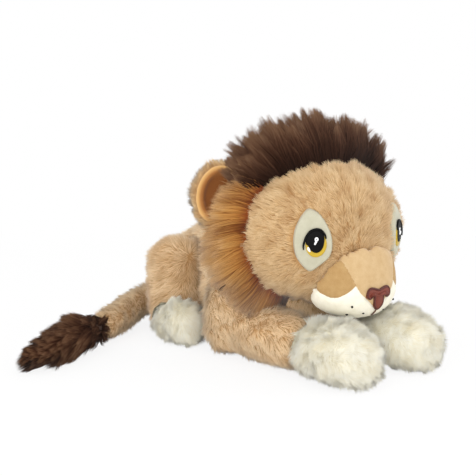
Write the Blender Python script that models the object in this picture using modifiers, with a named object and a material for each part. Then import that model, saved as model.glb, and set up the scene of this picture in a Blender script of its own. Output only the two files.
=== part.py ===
"""A stuffed lion lying on its belly, in metres, +Z up, with its nose towards -Y.

Every sewn piece is a solid of its own. Soft forms are coarse cages under a Subdivision Surface,
and what seats on one of them is cut by a twin of it that is grown by the clearance.
"""

import math

import bmesh
import bpy
from mathutils import Matrix, Vector

# Clearances and cloth
CLEARANCE = 0.0003
FLOOR_CUT = 0.0005
SKIN_WALL = 0.0025
FILLING_GAP = 0.0008
CUTTER_REACH = 0.7
MERGE_DISTANCE = 0.00001
BALL_SIDES = 16

# Torso
TORSO_REAR = 0.150
TORSO_FRONT = -0.076
TORSO_HALF_WIDTH = 0.059
TORSO_HEIGHT = 0.124
TORSO_STATION_SHARES = (0.0, 0.05, 0.18, 0.36, 0.55, 0.74, 0.90, 1.0)
TORSO_WIDTH_SHARES = (0.42, 0.76, 1.0, 1.02, 0.95, 0.94, 0.80, 0.50)
TORSO_HEIGHT_SHARES = (0.60, 0.83, 0.97, 1.0, 0.98, 0.98, 0.92, 0.72)
TORSO_MIDDLE_SHARE = 0.44
TORSO_SIDES = 8
FLAT_BELLY_SHARE = 1.42

# Neck
NECK_Y = -0.044
NECK_HEIGHT = 0.090
NECK_TILT = math.radians(42)
NECK_RADIUS = 0.030
NECK_SEAT = 0.024
NOD_UP = math.radians(8)
NAPE_ROOM = 0.0023
TURN_RANGE = math.radians(8)
CHIN_ROOM = 0.0012
MANE_ROOM = 0.0135
SHOULDER_ROOM = 0.0130

# Head
HEAD_FRONT = -0.134
HEAD_REAR = 0.008
HEAD_HALF_WIDTH = 0.093
HEAD_RISE = 0.072
HEAD_DROP = 0.068
HEAD_MIDDLE = 0.122
HEAD_STATION_SHARES = (0.0, 0.10, 0.28, 0.50, 0.70, 0.88, 1.0)
HEAD_WIDTH_SHARES = (0.28, 0.57, 0.85, 1.0, 0.85, 0.60, 0.33)
HEAD_RISE_SHARES = (0.36, 0.70, 0.95, 1.02, 0.96, 0.72, 0.38)
HEAD_DROP_SHARES = (0.42, 0.76, 0.97, 1.00, 0.90, 0.70, 0.38)
HEAD_SIDES = 10
HEAD_PILE = 0.004

# Muzzle
MUZZLE_FRONT = -0.149
MUZZLE_REAR = -0.096
MUZZLE_HALF_WIDTH = 0.045
MUZZLE_MIDDLE = 0.075
MUZZLE_RISE = 0.036
MUZZLE_DROP = 0.026
MUZZLE_STATION_SHARES = (0.0, 0.16, 0.42, 0.70, 1.0)
MUZZLE_WIDTH_SHARES = (0.42, 0.76, 0.95, 1.03, 1.0)
MUZZLE_RISE_SHARES = (0.30, 0.96, 1.20, 1.20, 1.15)
MUZZLE_DROP_SHARES = (0.52, 0.86, 1.02, 1.0, 0.9)
MUZZLE_SIDES = 10
PANEL_WALL = 0.002
BRIDGE_REAR_HALF = 0.029
BRIDGE_FRONT_HALF = 0.021
LIP_EDGE_SHARES = (
    (1.10, 0.04),
    (0.80, 0.02),
    (0.60, -0.02),
    (0.42, -0.14),
    (0.29, -0.10),
    (0.20, 0.05),
    (0.14, 0.24),
    (0.09, 0.10),
    (0.04, -0.14),
    (0.0, -0.46),
    (-0.10, -0.52),
)
NOSE_HALF_WIDTH = 0.0125
NOSE_TOP = 0.0795
NOSE_HEIGHT = 0.019
NOSE_STEM_HALF = 0.0050
NOSE_STEM_SHARE = 0.80
NOSE_THICKNESS = 0.0014
NOSE_OUTLINE_SHARES = (
    (0.0, -0.12),
    (0.45, -0.04),
    (0.80, 0.0),
    (1.0, -0.22),
    (0.90, -0.46),
    (0.62, -0.36),
    (0.44, -0.44),
)

# Eyes
EYE_SIDE = 0.0455
EYE_Y = -0.1156
EYE_REACH = 0.030
EYE_MIDDLE = 0.1205
EYE_FACING = math.radians(38)
EYE_LEAN = math.radians(8)
PATCH_HALF_WIDTH = 0.0185
PATCH_RISE = 0.031
PATCH_DROP = 0.030
PATCH_OUTLINE_SHARES = (
    (0.15, 1.0),
    (0.62, 0.72),
    (0.98, 0.22),
    (0.92, -0.30),
    (0.35, -0.78),
    (-0.10, -1.0),
    (-0.55, -0.72),
    (-0.95, -0.18),
    (-0.88, 0.38),
    (-0.45, 0.82),
)
IRIS_RADIUS = 0.0125
IRIS_STRETCH_SHARE = 1.13
PUPIL_RADIUS = 0.0098
PUPIL_RAISE = 0.0014
GLINT_RADIUS = 0.0026
GLINT_RAISE = 0.0045
DISC_SIDES = 16
GLINT_SIDES = 8
LAYER = 0.0007

# Ears
EAR_SIDE = 0.092
EAR_Y = -0.034
EAR_MIDDLE = 0.159
EAR_HALF_WIDTH = 0.024
EAR_HALF_HEIGHT = 0.031
EAR_HALF_DEPTH = 0.015
EAR_SPREAD = math.radians(16)
EAR_TURN = math.radians(30)
EAR_WALL = 0.007
EAR_LINING = 0.0022
EAR_HOLLOW_SHIFT = 0.010
EAR_SIDES = 14
EAR_RINGS = 8

# Hair
CREST_ROOT = 0.004
CREST_PILE = 0.036
CREST_HALF_THICKNESS = 0.017
CREST_Y = -0.072
CREST_FROM = math.radians(22)
CREST_TO = math.radians(158)
CREST_STEPS = 9
CREST_HEIGHT_SHARES = (0.45, 0.85, 1.0, 1.02, 1.0, 0.98, 0.90, 0.70, 0.40)
MANE_RADIUS = 0.089
MANE_HALF_THICKNESS = 0.013
MANE_HALF_WIDTH = 0.027
MANE_Y = -0.030
MANE_FORWARD = 0.052
MANE_LEAN = math.radians(14)
MANE_FROM = math.radians(36)
MANE_TO = math.radians(-52)
MANE_STEPS = 7
MANE_END_SHARES = (0.45, 0.9, 1.0, 1.0, 1.0, 0.9, 0.5)
NAPE_PILE = 0.009
NAPE_FRONT = -0.034

# Front legs
SHOULDER_SIDE = 0.056
SHOULDER_Y = -0.010
SHOULDER_RADIUS = 0.033
SHOULDER_HEIGHT = 0.080
SHOULDER_PROFILE_SHARES = (
    (0.30, 1.0),
    (0.62, 0.95),
    (0.88, 0.80),
    (1.0, 0.55),
    (0.98, 0.30),
    (0.84, 0.08),
    (0.60, 0.0),
)
FOREARM_RADIUS = 0.031
FOREARM_END_SIDE = 0.047
FOREARM_END_Y = -0.110
FOREARM_STATION_SHARES = (0.0, 0.25, 0.5, 0.75, 1.0)
FOREARM_RADIUS_SHARES = (0.80, 1.0, 0.97, 0.94, 0.86)
PAW_SIDE = 0.0405
PAW_FRONT = -0.183
PAW_REAR = -0.088
PAW_HALF_WIDTH = 0.0395
PAW_HEIGHT = 0.060
PAW_STATION_SHARES = (0.0, 0.12, 0.38, 0.70, 1.0)
PAW_WIDTH_SHARES = (0.45, 0.80, 1.0, 0.96, 0.66)
PAW_HEIGHT_SHARES = (0.50, 0.82, 1.0, 0.98, 0.80)
PAW_MIDDLE_SHARE = 0.46
TURNED_STEPS = 16
LIMB_SIDES = 8
FLAT_SOLE_SHARE = 1.42

# Hind legs
HAUNCH_SIDE = 0.057
HAUNCH_Y = 0.088
HAUNCH_RADIUS = 0.035
HAUNCH_HEIGHT = 0.106
HAUNCH_PROFILE_SHARES = (
    (0.32, 1.0),
    (0.66, 0.95),
    (0.92, 0.80),
    (1.0, 0.55),
    (0.96, 0.28),
    (0.80, 0.08),
    (0.55, 0.0),
)
FOOT_SIDE = 0.078
FOOT_FRONT = 0.020
FOOT_REAR = 0.090
FOOT_HALF_WIDTH = 0.026
FOOT_HEIGHT = 0.051

# Tail
TAIL_RADIUS = 0.019
TAIL_SINK = 0.0015
TAIL_ROOT_INSET = 0.001
TAIL_ROOT_HEIGHT = 0.032
TAIL_REACH = 0.154
TAIL_SWEEP = 0.060
TAIL_PATH_SHARES = (
    (0.0, 0.0, 1.0),
    (0.22, -0.07, 0.78),
    (0.44, 0.03, 0.48),
    (0.64, 0.35, 0.18),
    (0.82, 0.70, 0.02),
    (1.0, 1.0, 0.0),
)
TAIL_RADIUS_SHARES = (0.9, 1.0, 1.0, 1.0, 1.0, 0.92)
TUFT_LAP = 0.012
TUFT_REACH = 0.110
TUFT_SWEEP = 0.0445
TUFT_PATH_SHARES = (
    (0.0, 0.0, 0.89),
    (0.18, 0.26, 0.98),
    (0.45, 0.64, 0.91),
    (0.73, 0.91, 0.73),
    (1.0, 1.0, 0.41),
)
TUFT_RADIUS = 0.022
TUFT_RADIUS_SHARES = (0.78, 0.98, 1.0, 0.76, 0.36)

# Colours
TAN_FUR = "#D6B48C"
PALE_TAN_FUR = "#DDBB98"
CREAM_FUR = "#F2EFE0"
GINGER_FUR = "#C57A34"
BROWN_FUR = "#4A342B"
TAN_SUEDE = "#D4B280"
CREAM_SUEDE = "#F0F0E4"
FIBRE_FILL = "#F4F4F2"
NOSE_THREAD = "#74341F"
IRIS_THREAD = "#B89A2E"
PUPIL_THREAD = "#0E0C0B"
GLINT_THREAD = "#FFFFFF"
PILE_ROUGHNESS = 0.95
SUEDE_ROUGHNESS = 0.85
THREAD_ROUGHNESS = 0.45

UP = Vector((0.0, 0.0, 1.0))
ACROSS = Vector((1.0, 0.0, 0.0))
ALONG = Vector((0.0, 1.0, 0.0))
RIGHT = -1
LEFT = 1
SIDES = (("right", RIGHT), ("left", LEFT))

# Places that follow from the sizes
NECK_PIVOT = Vector((0.0, NECK_Y, NECK_HEIGHT))
LEG_PLACES = {side: Vector((side * SHOULDER_SIDE, SHOULDER_Y, 0)) for _, side in SIDES}
HAUNCH_PLACES = {side: Vector((side * HAUNCH_SIDE, HAUNCH_Y, 0)) for _, side in SIDES}
TAIL_LYING = TAIL_RADIUS - TAIL_SINK
TAIL_POINTS = [
    Vector((
        -TAIL_REACH * out,
        TORSO_REAR - TAIL_ROOT_INSET - TAIL_SWEEP * ahead,
        TAIL_LYING + (TAIL_ROOT_HEIGHT - TAIL_LYING) * up,
    ))
    for out, ahead, up in TAIL_PATH_SHARES
]
TUFT_POINTS = [
    Vector((
        TAIL_POINTS[-1].x + TUFT_LAP - TUFT_REACH * out,
        TAIL_POINTS[-1].y + TUFT_LAP / 2 - TUFT_SWEEP * ahead,
        TUFT_RADIUS * up,
    ))
    for out, ahead, up in TUFT_PATH_SHARES
]


def collection(name):
    made = bpy.data.collections.new(name)
    bpy.context.scene.collection.children.link(made)
    return made


for leftover in list(bpy.data.objects):
    bpy.data.objects.remove(leftover)
LION = collection("plush_lion")
CUTTERS = collection("cutters")
PIVOTS = collection("pivots")


def linear(channel):
    return channel / 12.92 if channel <= 0.04045 else ((channel + 0.055) / 1.055) ** 2.4


def paint(piece, colour, roughness):
    """Gives a piece its own Principled material, from an sRGB hex colour."""
    made = bpy.data.materials.new(piece.name)
    made.use_nodes = True
    shader = made.node_tree.nodes["Principled BSDF"]
    channels = [linear(int(colour[i : i + 2], 16) / 255) for i in (1, 3, 5)]
    shader.inputs["Base Color"].default_value = (*channels, 1.0)
    shader.inputs["Roughness"].default_value = roughness
    shader.inputs["Metallic"].default_value = 0.0
    piece.data = piece.data.copy()
    piece.data.materials.clear()
    piece.data.materials.append(made)


def add_object(name, mesh, home=None):
    """Adds a mesh as a cutter, or as a piece of the lion where the home is LION."""
    made = bpy.data.objects.new(name, mesh)
    home = home or CUTTERS
    home.objects.link(made)
    if home is CUTTERS:
        made.hide_render = True
        made.display_type = "WIRE"
    return made


def finish_mesh(name, bm):
    bm.normal_update()
    bmesh.ops.recalc_face_normals(bm, faces=bm.faces)
    mesh = bpy.data.meshes.new(name)
    bm.to_mesh(mesh)
    bm.free()
    mesh.shade_smooth()
    return mesh


def rings_mesh(name, sections, sides, flat_share=1.0):
    """A cage of rings; each section is centre, across, up, half width, rise and drop.

    A subdivided ring is smaller than its cage, so the cage is swelled by that share. Where
    flat_share is over 1 the underside is pressed flat, and there it needs no swelling.
    """
    swell = 3 / (2 + math.cos(math.tau / sides))
    bm = bmesh.new()
    rings = []
    for centre, across, up, half_width, rise, drop in sections:
        ring = []
        for i in range(sides):
            angle = math.tau * i / sides
            sine = math.sin(angle)
            if sine >= 0:
                height = rise * swell * sine
            elif flat_share > 1:
                height = -drop * min(1, -sine * flat_share)
            else:
                height = drop * swell * sine
            side = half_width * swell * math.cos(angle)
            ring.append(bm.verts.new(centre + across * side + up * height))
        rings.append(ring)
    for near, far in zip(rings, rings[1:]):
        for i in range(sides):
            j = (i + 1) % sides
            bm.faces.new((near[i], near[j], far[j], far[i]))
    bm.faces.new(list(reversed(rings[0])))
    bm.faces.new(rings[-1])
    return finish_mesh(name, bm)


def tube_mesh(name, points, radii, sides=LIMB_SIDES, flat_share=1.0):
    """A cage along a list of points, square to the run and upright."""
    sections = []
    for i, (point, radius) in enumerate(zip(points, radii)):
        ahead = points[min(i + 1, len(points) - 1)]
        behind = points[max(i - 1, 0)]
        across = (ahead - behind).cross(UP).normalized()
        sections.append((point, across, UP, radius, radius, radius))
    return rings_mesh(name, sections, sides, flat_share)


def add_growth(piece, grow):
    """Splits a form into triangles, and then moves them out along their normals.

    The split comes first, so that a form and its grown twin have the same triangles.
    """
    split = piece.modifiers.new("split", "TRIANGULATE")
    split.quad_method = "FIXED"
    if grow:
        swell = piece.modifiers.new("grow", "DISPLACE")
        swell.strength = grow
        swell.mid_level = 0.0


def soft(name, mesh, home=None, grow=0.0, levels=1):
    """A cage with its Subdivision Surface, and grown along its normals where asked."""
    made = add_object(name, mesh, home)
    smooth = made.modifiers.new("soft_form", "SUBSURF")
    smooth.levels = levels
    smooth.render_levels = levels
    add_growth(made, grow)
    return made


def combine(target, other, operation="DIFFERENCE"):
    step = target.modifiers.new(operation.lower(), "BOOLEAN")
    step.operation = operation
    step.object = other
    return target


def turned(name, profile, home=None, grow=0.0):
    """A closed form turned about the upright through its object's origin."""
    bm = bmesh.new()
    ends = [Vector((0.0, 0.0, profile[0][1])), Vector((0.0, 0.0, profile[-1][1]))]
    outer = [Vector((radius, 0.0, height)) for radius, height in profile]
    verts = [bm.verts.new(point) for point in [ends[0], *outer, ends[1]]]
    for near, far in zip(verts, verts[1:]):
        bm.edges.new((near, far))
    mesh = bpy.data.meshes.new(name)
    bm.to_mesh(mesh)
    bm.free()
    made = add_object(name, mesh, home)
    spin = made.modifiers.new("turn", "SCREW")
    spin.steps = TURNED_STEPS
    spin.render_steps = TURNED_STEPS
    spin.use_merge_vertices = True
    spin.merge_threshold = MERGE_DISTANCE
    spin.use_smooth_shade = True
    add_growth(made, grow)
    return made


def half_space(name, point, turn):
    """A cutter block whose flat top passes through a point and faces the turned +Z."""
    bm = bmesh.new()
    bmesh.ops.create_cube(bm, size=CUTTER_REACH)
    made = add_object(name, finish_mesh(name, bm))
    made.matrix_world = Matrix.Translation(point) @ turn @ Matrix.Translation(-UP * CUTTER_REACH / 2)
    return made


def prism(name, outline, frame, reach):
    """A flat outline in a frame's own plane, drawn out both ways along its normal."""
    bm = bmesh.new()
    face = bm.faces.new([bm.verts.new((x, y, -reach)) for x, y in outline])
    drawn = bmesh.ops.extrude_face_region(bm, geom=[face])["geom"]
    tops = [item for item in drawn if isinstance(item, bmesh.types.BMVert)]
    bmesh.ops.translate(bm, verts=tops, vec=UP * (reach + reach))
    made = add_object(name, finish_mesh(name, bm))
    made.matrix_world = frame
    return made


def ball(name, centre, radius, home=None):
    bm = bmesh.new()
    bmesh.ops.create_uvsphere(bm, u_segments=BALL_SIDES, v_segments=BALL_SIDES // 2, radius=radius)
    made = add_object(name, finish_mesh(name, bm), home)
    made.location = centre
    return made


def turning_room(radius, sides, ways=1):
    """The clearance of a faceted round that turns in its twin, so that its corners pass the flats."""
    return CLEARANCE + radius * (1 / math.cos(math.pi / sides) ** ways - 1)


# Forms that several pieces share


def torso_mesh():
    middle = TORSO_HEIGHT * TORSO_MIDDLE_SHARE
    rows = zip(TORSO_STATION_SHARES, TORSO_WIDTH_SHARES, TORSO_HEIGHT_SHARES)
    sections = []
    for station, width, height in rows:
        y = TORSO_FRONT + (TORSO_REAR - TORSO_FRONT) * (1 - station)
        rise = TORSO_HEIGHT * height - middle
        sections.append((Vector((0, y, middle)), ACROSS, UP, TORSO_HALF_WIDTH * width, rise,
                         middle + FLOOR_CUT))
    return rings_mesh("torso_form", sections, TORSO_SIDES, FLAT_BELLY_SHARE)


def head_mesh():
    rows = zip(HEAD_STATION_SHARES, HEAD_WIDTH_SHARES, HEAD_RISE_SHARES, HEAD_DROP_SHARES)
    sections = []
    for station, width, rise, drop in rows:
        y = HEAD_FRONT + (HEAD_REAR - HEAD_FRONT) * station
        sections.append((Vector((0, y, HEAD_MIDDLE)), ACROSS, UP, HEAD_HALF_WIDTH * width,
                         HEAD_RISE * rise, HEAD_DROP * drop))
    return rings_mesh("head_form", sections, HEAD_SIDES)


def muzzle_mesh():
    rows = zip(MUZZLE_STATION_SHARES, MUZZLE_WIDTH_SHARES, MUZZLE_RISE_SHARES, MUZZLE_DROP_SHARES)
    sections = []
    for station, width, rise, drop in rows:
        y = MUZZLE_FRONT + (MUZZLE_REAR - MUZZLE_FRONT) * station
        sections.append((Vector((0, y, MUZZLE_MIDDLE)), ACROSS, UP, MUZZLE_HALF_WIDTH * width,
                         MUZZLE_RISE * rise, MUZZLE_DROP * drop))
    return rings_mesh("muzzle_form", sections, MUZZLE_SIDES)


TORSO_FORM = torso_mesh()
HEAD_FORM = head_mesh()
MUZZLE_FORM = muzzle_mesh()
NO_TURN = Matrix.Identity(4)
FLOOR = half_space("floor", Vector((0, 0, 0)), NO_TURN)
TORSO_GROWN = soft("torso_grown", TORSO_FORM, grow=CLEARANCE)
HEAD_GROWN = soft("head_grown", HEAD_FORM, grow=HEAD_PILE + CLEARANCE)
MUZZLE_GROWN = soft("muzzle_grown", MUZZLE_FORM, grow=CLEARANCE)


def tilt_about_neck(angle):
    return Matrix.Rotation(angle, 4, "X")


def above_neck(name, angle, clearance):
    """What lies above the neck's seam plane at an angle, or a clearance further up."""
    upward = tilt_about_neck(angle) @ UP
    return half_space(name, NECK_PIVOT + upward * clearance, tilt_about_neck(angle + math.pi))


ABOVE_NECK = above_neck("above_neck", NECK_TILT, 0)
NECK_ROOM = NECK_RADIUS + turning_room(NECK_RADIUS, BALL_SIDES, 2)
NECK_GROWN = ball("neck_grown", NECK_PIVOT, NECK_ROOM)


def neck_seat(name, depth):
    """What lies below the neck's flat end, which is square to the axis that the neck turns on."""
    tilt = tilt_about_neck(NECK_TILT)
    return half_space(name, NECK_PIVOT - (tilt @ UP) * depth, tilt)


NECK_SOCKET = combine(ball("neck_socket", NECK_PIVOT, NECK_ROOM),
                      neck_seat("socket_floor", NECK_SEAT + CLEARANCE))


def turned_heads():
    """The head and muzzle at both ends and the middle of the turn, grown by the chin's room."""
    axis = tilt_about_neck(NECK_TILT) @ UP
    to_pivot = Matrix.Translation(NECK_PIVOT)
    made = []
    for step in (-1, 0, 1):
        turn = to_pivot @ Matrix.Rotation(TURN_RANGE * step, 4, axis) @ to_pivot.inverted()
        for word, form, grow in (("head", HEAD_FORM, HEAD_PILE), ("muzzle", MUZZLE_FORM, 0)):
            room = soft(f"{word}_room_{step + 1}", form, grow=grow + CHIN_ROOM)
            room.matrix_world = turn
            made.append(room)
    return made


HEAD_ROOM = turned_heads()


def clear_of_head(piece):
    for room in HEAD_ROOM:
        combine(piece, room)


def turned_torsos():
    """The torso as the head sees it at the corners of its turn and nod, grown by the nape's room."""
    axis = tilt_about_neck(NECK_TILT) @ UP
    to_pivot = Matrix.Translation(NECK_PIVOT)
    made = []
    for nod_step in (0, 1):
        nod = tilt_about_neck(NOD_UP * nod_step)
        above = above_neck(f"above_nod_{nod_step}", NECK_TILT + NOD_UP * nod_step, CLEARANCE)
        for turn_step in (-1, 1):
            turn = Matrix.Rotation(TURN_RANGE * turn_step, 4, axis)
            room = soft(f"torso_room_{turn_step + 1}_{nod_step}", TORSO_FORM, grow=NAPE_ROOM)
            combine(room, above)
            room.matrix_world = to_pivot @ nod @ turn @ to_pivot.inverted()
            made.append(room)
    return made


TORSO_ROOM = turned_torsos()


def clear_of_torso(piece):
    for room in TORSO_ROOM:
        combine(piece, room)
    return piece


# Legs, whose upper part is turned about the upright that the leg swings on


def shoulder_profile():
    return [(SHOULDER_RADIUS * r, SHOULDER_HEIGHT * h - FLOOR_CUT * (1 - h))
            for r, h in SHOULDER_PROFILE_SHARES]


def haunch_profile():
    return [(HAUNCH_RADIUS * r, HAUNCH_HEIGHT * h - FLOOR_CUT * (1 - h))
            for r, h in HAUNCH_PROFILE_SHARES]


def placed_turned(name, profile, place, grow=0.0, home=None):
    made = turned(name, profile, home, grow)
    made.location = place
    return made


def forearm_mesh(side):
    start = Vector((side * SHOULDER_SIDE, SHOULDER_Y, FOREARM_RADIUS))
    end = Vector((side * FOREARM_END_SIDE, FOREARM_END_Y, FOREARM_RADIUS))
    points = [start.lerp(end, share) for share in FOREARM_STATION_SHARES]
    radii = [FOREARM_RADIUS * share for share in FOREARM_RADIUS_SHARES]
    for point, radius in zip(points, radii):
        point.z = radius - FLOOR_CUT
    return tube_mesh("forearm_form", points, radii, flat_share=FLAT_SOLE_SHARE)


def paw_mesh(side, place_side, front, rear, half_width, height):
    middle = height * PAW_MIDDLE_SHARE
    sections = []
    for station, width, tall in zip(PAW_STATION_SHARES, PAW_WIDTH_SHARES, PAW_HEIGHT_SHARES):
        centre = Vector((side * place_side, front + (rear - front) * station, middle))
        sections.append((centre, ACROSS, UP, half_width * width, height * tall - middle,
                         middle + FLOOR_CUT))
    return rings_mesh("paw_form", sections, LIMB_SIDES, FLAT_SOLE_SHARE)


SHOULDERS_GROWN = [
    placed_turned(f"shoulder_{word}_grown", shoulder_profile(), LEG_PLACES[side],
                  turning_room(SHOULDER_RADIUS, TURNED_STEPS))
    for word, side in SIDES
]
HAUNCHES_GROWN = [
    placed_turned(f"haunch_{word}_grown", haunch_profile(), HAUNCH_PLACES[side],
                  turning_room(HAUNCH_RADIUS, TURNED_STEPS))
    for word, side in SIDES
]
TAIL_FORM = tube_mesh("tail_form", TAIL_POINTS,
                      [TAIL_RADIUS * share for share in TAIL_RADIUS_SHARES])
TAIL_ROOT_GROWN = ball("tail_root_grown", TAIL_POINTS[0],
                       TAIL_RADIUS + turning_room(TAIL_RADIUS, BALL_SIDES, 2))


def make_torso():
    skin = soft("torso_skin", TORSO_FORM, LION)
    combine(skin, soft("torso_hollow", TORSO_FORM, grow=-SKIN_WALL))
    filling = soft("torso_filling", TORSO_FORM, LION, grow=-SKIN_WALL - FILLING_GAP)
    for piece in (skin, filling):
        combine(piece, ABOVE_NECK)
        combine(piece, NECK_SOCKET)
        combine(piece, TAIL_ROOT_GROWN)
        for cutter in SHOULDERS_GROWN + HAUNCHES_GROWN:
            combine(piece, cutter)
        combine(piece, FLOOR)
    paint(skin, PALE_TAN_FUR, PILE_ROUGHNESS)
    paint(filling, FIBRE_FILL, PILE_ROUGHNESS)


def make_neck():
    neck = ball("neck", NECK_PIVOT, NECK_RADIUS, home=LION)
    combine(neck, neck_seat("neck_end", NECK_SEAT))
    paint(neck, FIBRE_FILL, PILE_ROUGHNESS)


def make_head():
    skin = soft("head_skin", HEAD_FORM, LION, grow=HEAD_PILE)
    combine(skin, soft("head_hollow", HEAD_FORM, grow=-SKIN_WALL))
    filling = soft("head_filling", HEAD_FORM, LION, grow=-SKIN_WALL - FILLING_GAP)
    for piece in (skin, filling):
        clear_of_torso(piece)
        combine(piece, NECK_GROWN)
    paint(skin, TAN_FUR, PILE_ROUGHNESS)
    paint(filling, FIBRE_FILL, PILE_ROUGHNESS)
    return skin


def make_legs():
    for word, side in SIDES:
        leg = soft(f"front_leg_{word}", forearm_mesh(side), LION)
        combine(leg, TORSO_GROWN)
        shoulder = placed_turned(f"shoulder_{word}", shoulder_profile(), LEG_PLACES[side])
        combine(leg, shoulder, "UNION")
        clear_of_head(leg)
        combine(leg, FLOOR)
        paint(leg, PALE_TAN_FUR, PILE_ROUGHNESS)
        forearm_grown = soft(f"forearm_{word}_grown", forearm_mesh(side), grow=CLEARANCE)
        paw_form = paw_mesh(side, PAW_SIDE, PAW_FRONT, PAW_REAR, PAW_HALF_WIDTH, PAW_HEIGHT)
        paw = soft(f"front_paw_{word}", paw_form, LION)
        combine(paw, forearm_grown)
        clear_of_head(paw)
        combine(paw, FLOOR)
        paint(paw, CREAM_FUR, PILE_ROUGHNESS)
        haunch = placed_turned(f"haunch_{word}", haunch_profile(), HAUNCH_PLACES[side], home=LION)
        combine(haunch, FLOOR)
        paint(haunch, PALE_TAN_FUR, PILE_ROUGHNESS)
        foot_form = paw_mesh(side, FOOT_SIDE, FOOT_FRONT, FOOT_REAR, FOOT_HALF_WIDTH, FOOT_HEIGHT)
        foot = soft(f"hind_paw_{word}", foot_form, LION)
        combine(foot, HAUNCHES_GROWN[0 if side == RIGHT else 1])
        combine(foot, TORSO_GROWN)
        combine(foot, FLOOR)
        paint(foot, CREAM_FUR, PILE_ROUGHNESS)


def make_tail():
    tube = soft("tail_tube", TAIL_FORM, LION)
    combine(tube, TORSO_GROWN)
    combine(tube, ball("tail_root", TAIL_POINTS[0], TAIL_RADIUS), "UNION")
    combine(tube, FLOOR)
    paint(tube, PALE_TAN_FUR, PILE_ROUGHNESS)
    radii = [TUFT_RADIUS * share for share in TUFT_RADIUS_SHARES]
    tuft = soft("tail_tuft", tube_mesh("tuft_form", TUFT_POINTS, radii), LION)
    combine(tuft, soft("tail_grown", TAIL_FORM, grow=CLEARANCE))
    combine(tuft, FLOOR)
    paint(tuft, BROWN_FUR, PILE_ROUGHNESS)


def make_muzzle():
    """Shell panels around a filling, parted by the lip line and the bridge seams."""
    lip_outline = []
    for along, height in LIP_EDGE_SHARES:
        y = MUZZLE_FRONT + (MUZZLE_REAR - MUZZLE_FRONT) * along
        z = MUZZLE_MIDDLE + (MUZZLE_RISE if height > 0 else MUZZLE_DROP) * height
        lip_outline.append((y, z))
    below = MUZZLE_MIDDLE - MUZZLE_DROP - MUZZLE_DROP
    lip_outline += [(lip_outline[-1][0], below), (lip_outline[0][0], below)]
    side_view = Matrix(((0, 0, 1, 0), (1, 0, 0, 0), (0, 1, 0, 0), (0, 0, 0, 1)))
    wide = MUZZLE_HALF_WIDTH + MUZZLE_HALF_WIDTH
    lip = prism("lip", lip_outline, side_view, wide)
    lip_grown = prism("lip_grown", lip_outline, side_view, wide)
    swell_flat(lip_grown, CLEARANCE)
    front = MUZZLE_FRONT - PANEL_WALL
    bridge_outline = [
        (-BRIDGE_REAR_HALF, MUZZLE_REAR),
        (-BRIDGE_FRONT_HALF, front),
        (BRIDGE_FRONT_HALF, front),
        (BRIDGE_REAR_HALF, MUZZLE_REAR),
    ]
    top_view = Matrix.Translation(UP * MUZZLE_MIDDLE)
    bridge_block = prism("bridge_block", bridge_outline, top_view, wide)
    bridge_grown = prism("bridge_grown", bridge_outline, top_view, wide)
    swell_flat(bridge_grown, CLEARANCE)
    hollow = soft("muzzle_hollow", MUZZLE_FORM, grow=-PANEL_WALL)
    halves = {
        RIGHT: half_space("left_half", Vector((-CLEARANCE / 2, 0, 0)),
                          Matrix.Rotation(-math.pi / 2, 4, "Y")),
        LEFT: half_space("right_half", Vector((CLEARANCE / 2, 0, 0)),
                         Matrix.Rotation(math.pi / 2, 4, "Y")),
    }

    def panel(name, colour):
        made = soft(name, MUZZLE_FORM, LION)
        combine(made, hollow)
        combine(made, HEAD_GROWN)
        paint(made, colour, SUEDE_ROUGHNESS)
        return made

    bridge = panel("muzzle_bridge", TAN_SUEDE)
    combine(bridge, bridge_block, "INTERSECT")
    combine(bridge, lip_grown)
    for word, side in SIDES:
        cheek = panel(f"muzzle_side_{word}", TAN_SUEDE)
        combine(cheek, bridge_grown)
        combine(cheek, lip_grown)
        combine(cheek, halves[side])
        lower = panel(f"muzzle_lower_{word}", CREAM_SUEDE)
        combine(lower, lip, "INTERSECT")
        combine(lower, halves[side])
    filling = soft("muzzle_filling", MUZZLE_FORM, LION, grow=-PANEL_WALL - FILLING_GAP)
    combine(filling, HEAD_GROWN)
    paint(filling, FIBRE_FILL, PILE_ROUGHNESS)


def swell_flat(piece, amount):
    """Grows a prism along its normals, so that what it cuts clears it."""
    swell = piece.modifiers.new("grow", "DISPLACE")
    swell.strength = amount
    swell.mid_level = 0.0


def applique(name, outline, frame, reach, form, low, high, colour):
    """A flat outline laid on a soft form, between two heights above the form."""
    piece = soft(name, form, LION, grow=high)
    combine(piece, prism(f"{name}_outline", outline, frame, reach), "INTERSECT")
    combine(piece, soft(f"{name}_seat", form, grow=low))
    paint(piece, colour, THREAD_ROUGHNESS)
    return piece


def ring(radius, stretch_share, raise_by, sides):
    return [(radius * math.cos(math.tau * i / sides),
             raise_by + radius * stretch_share * math.sin(math.tau * i / sides))
            for i in range(sides)]


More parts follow.
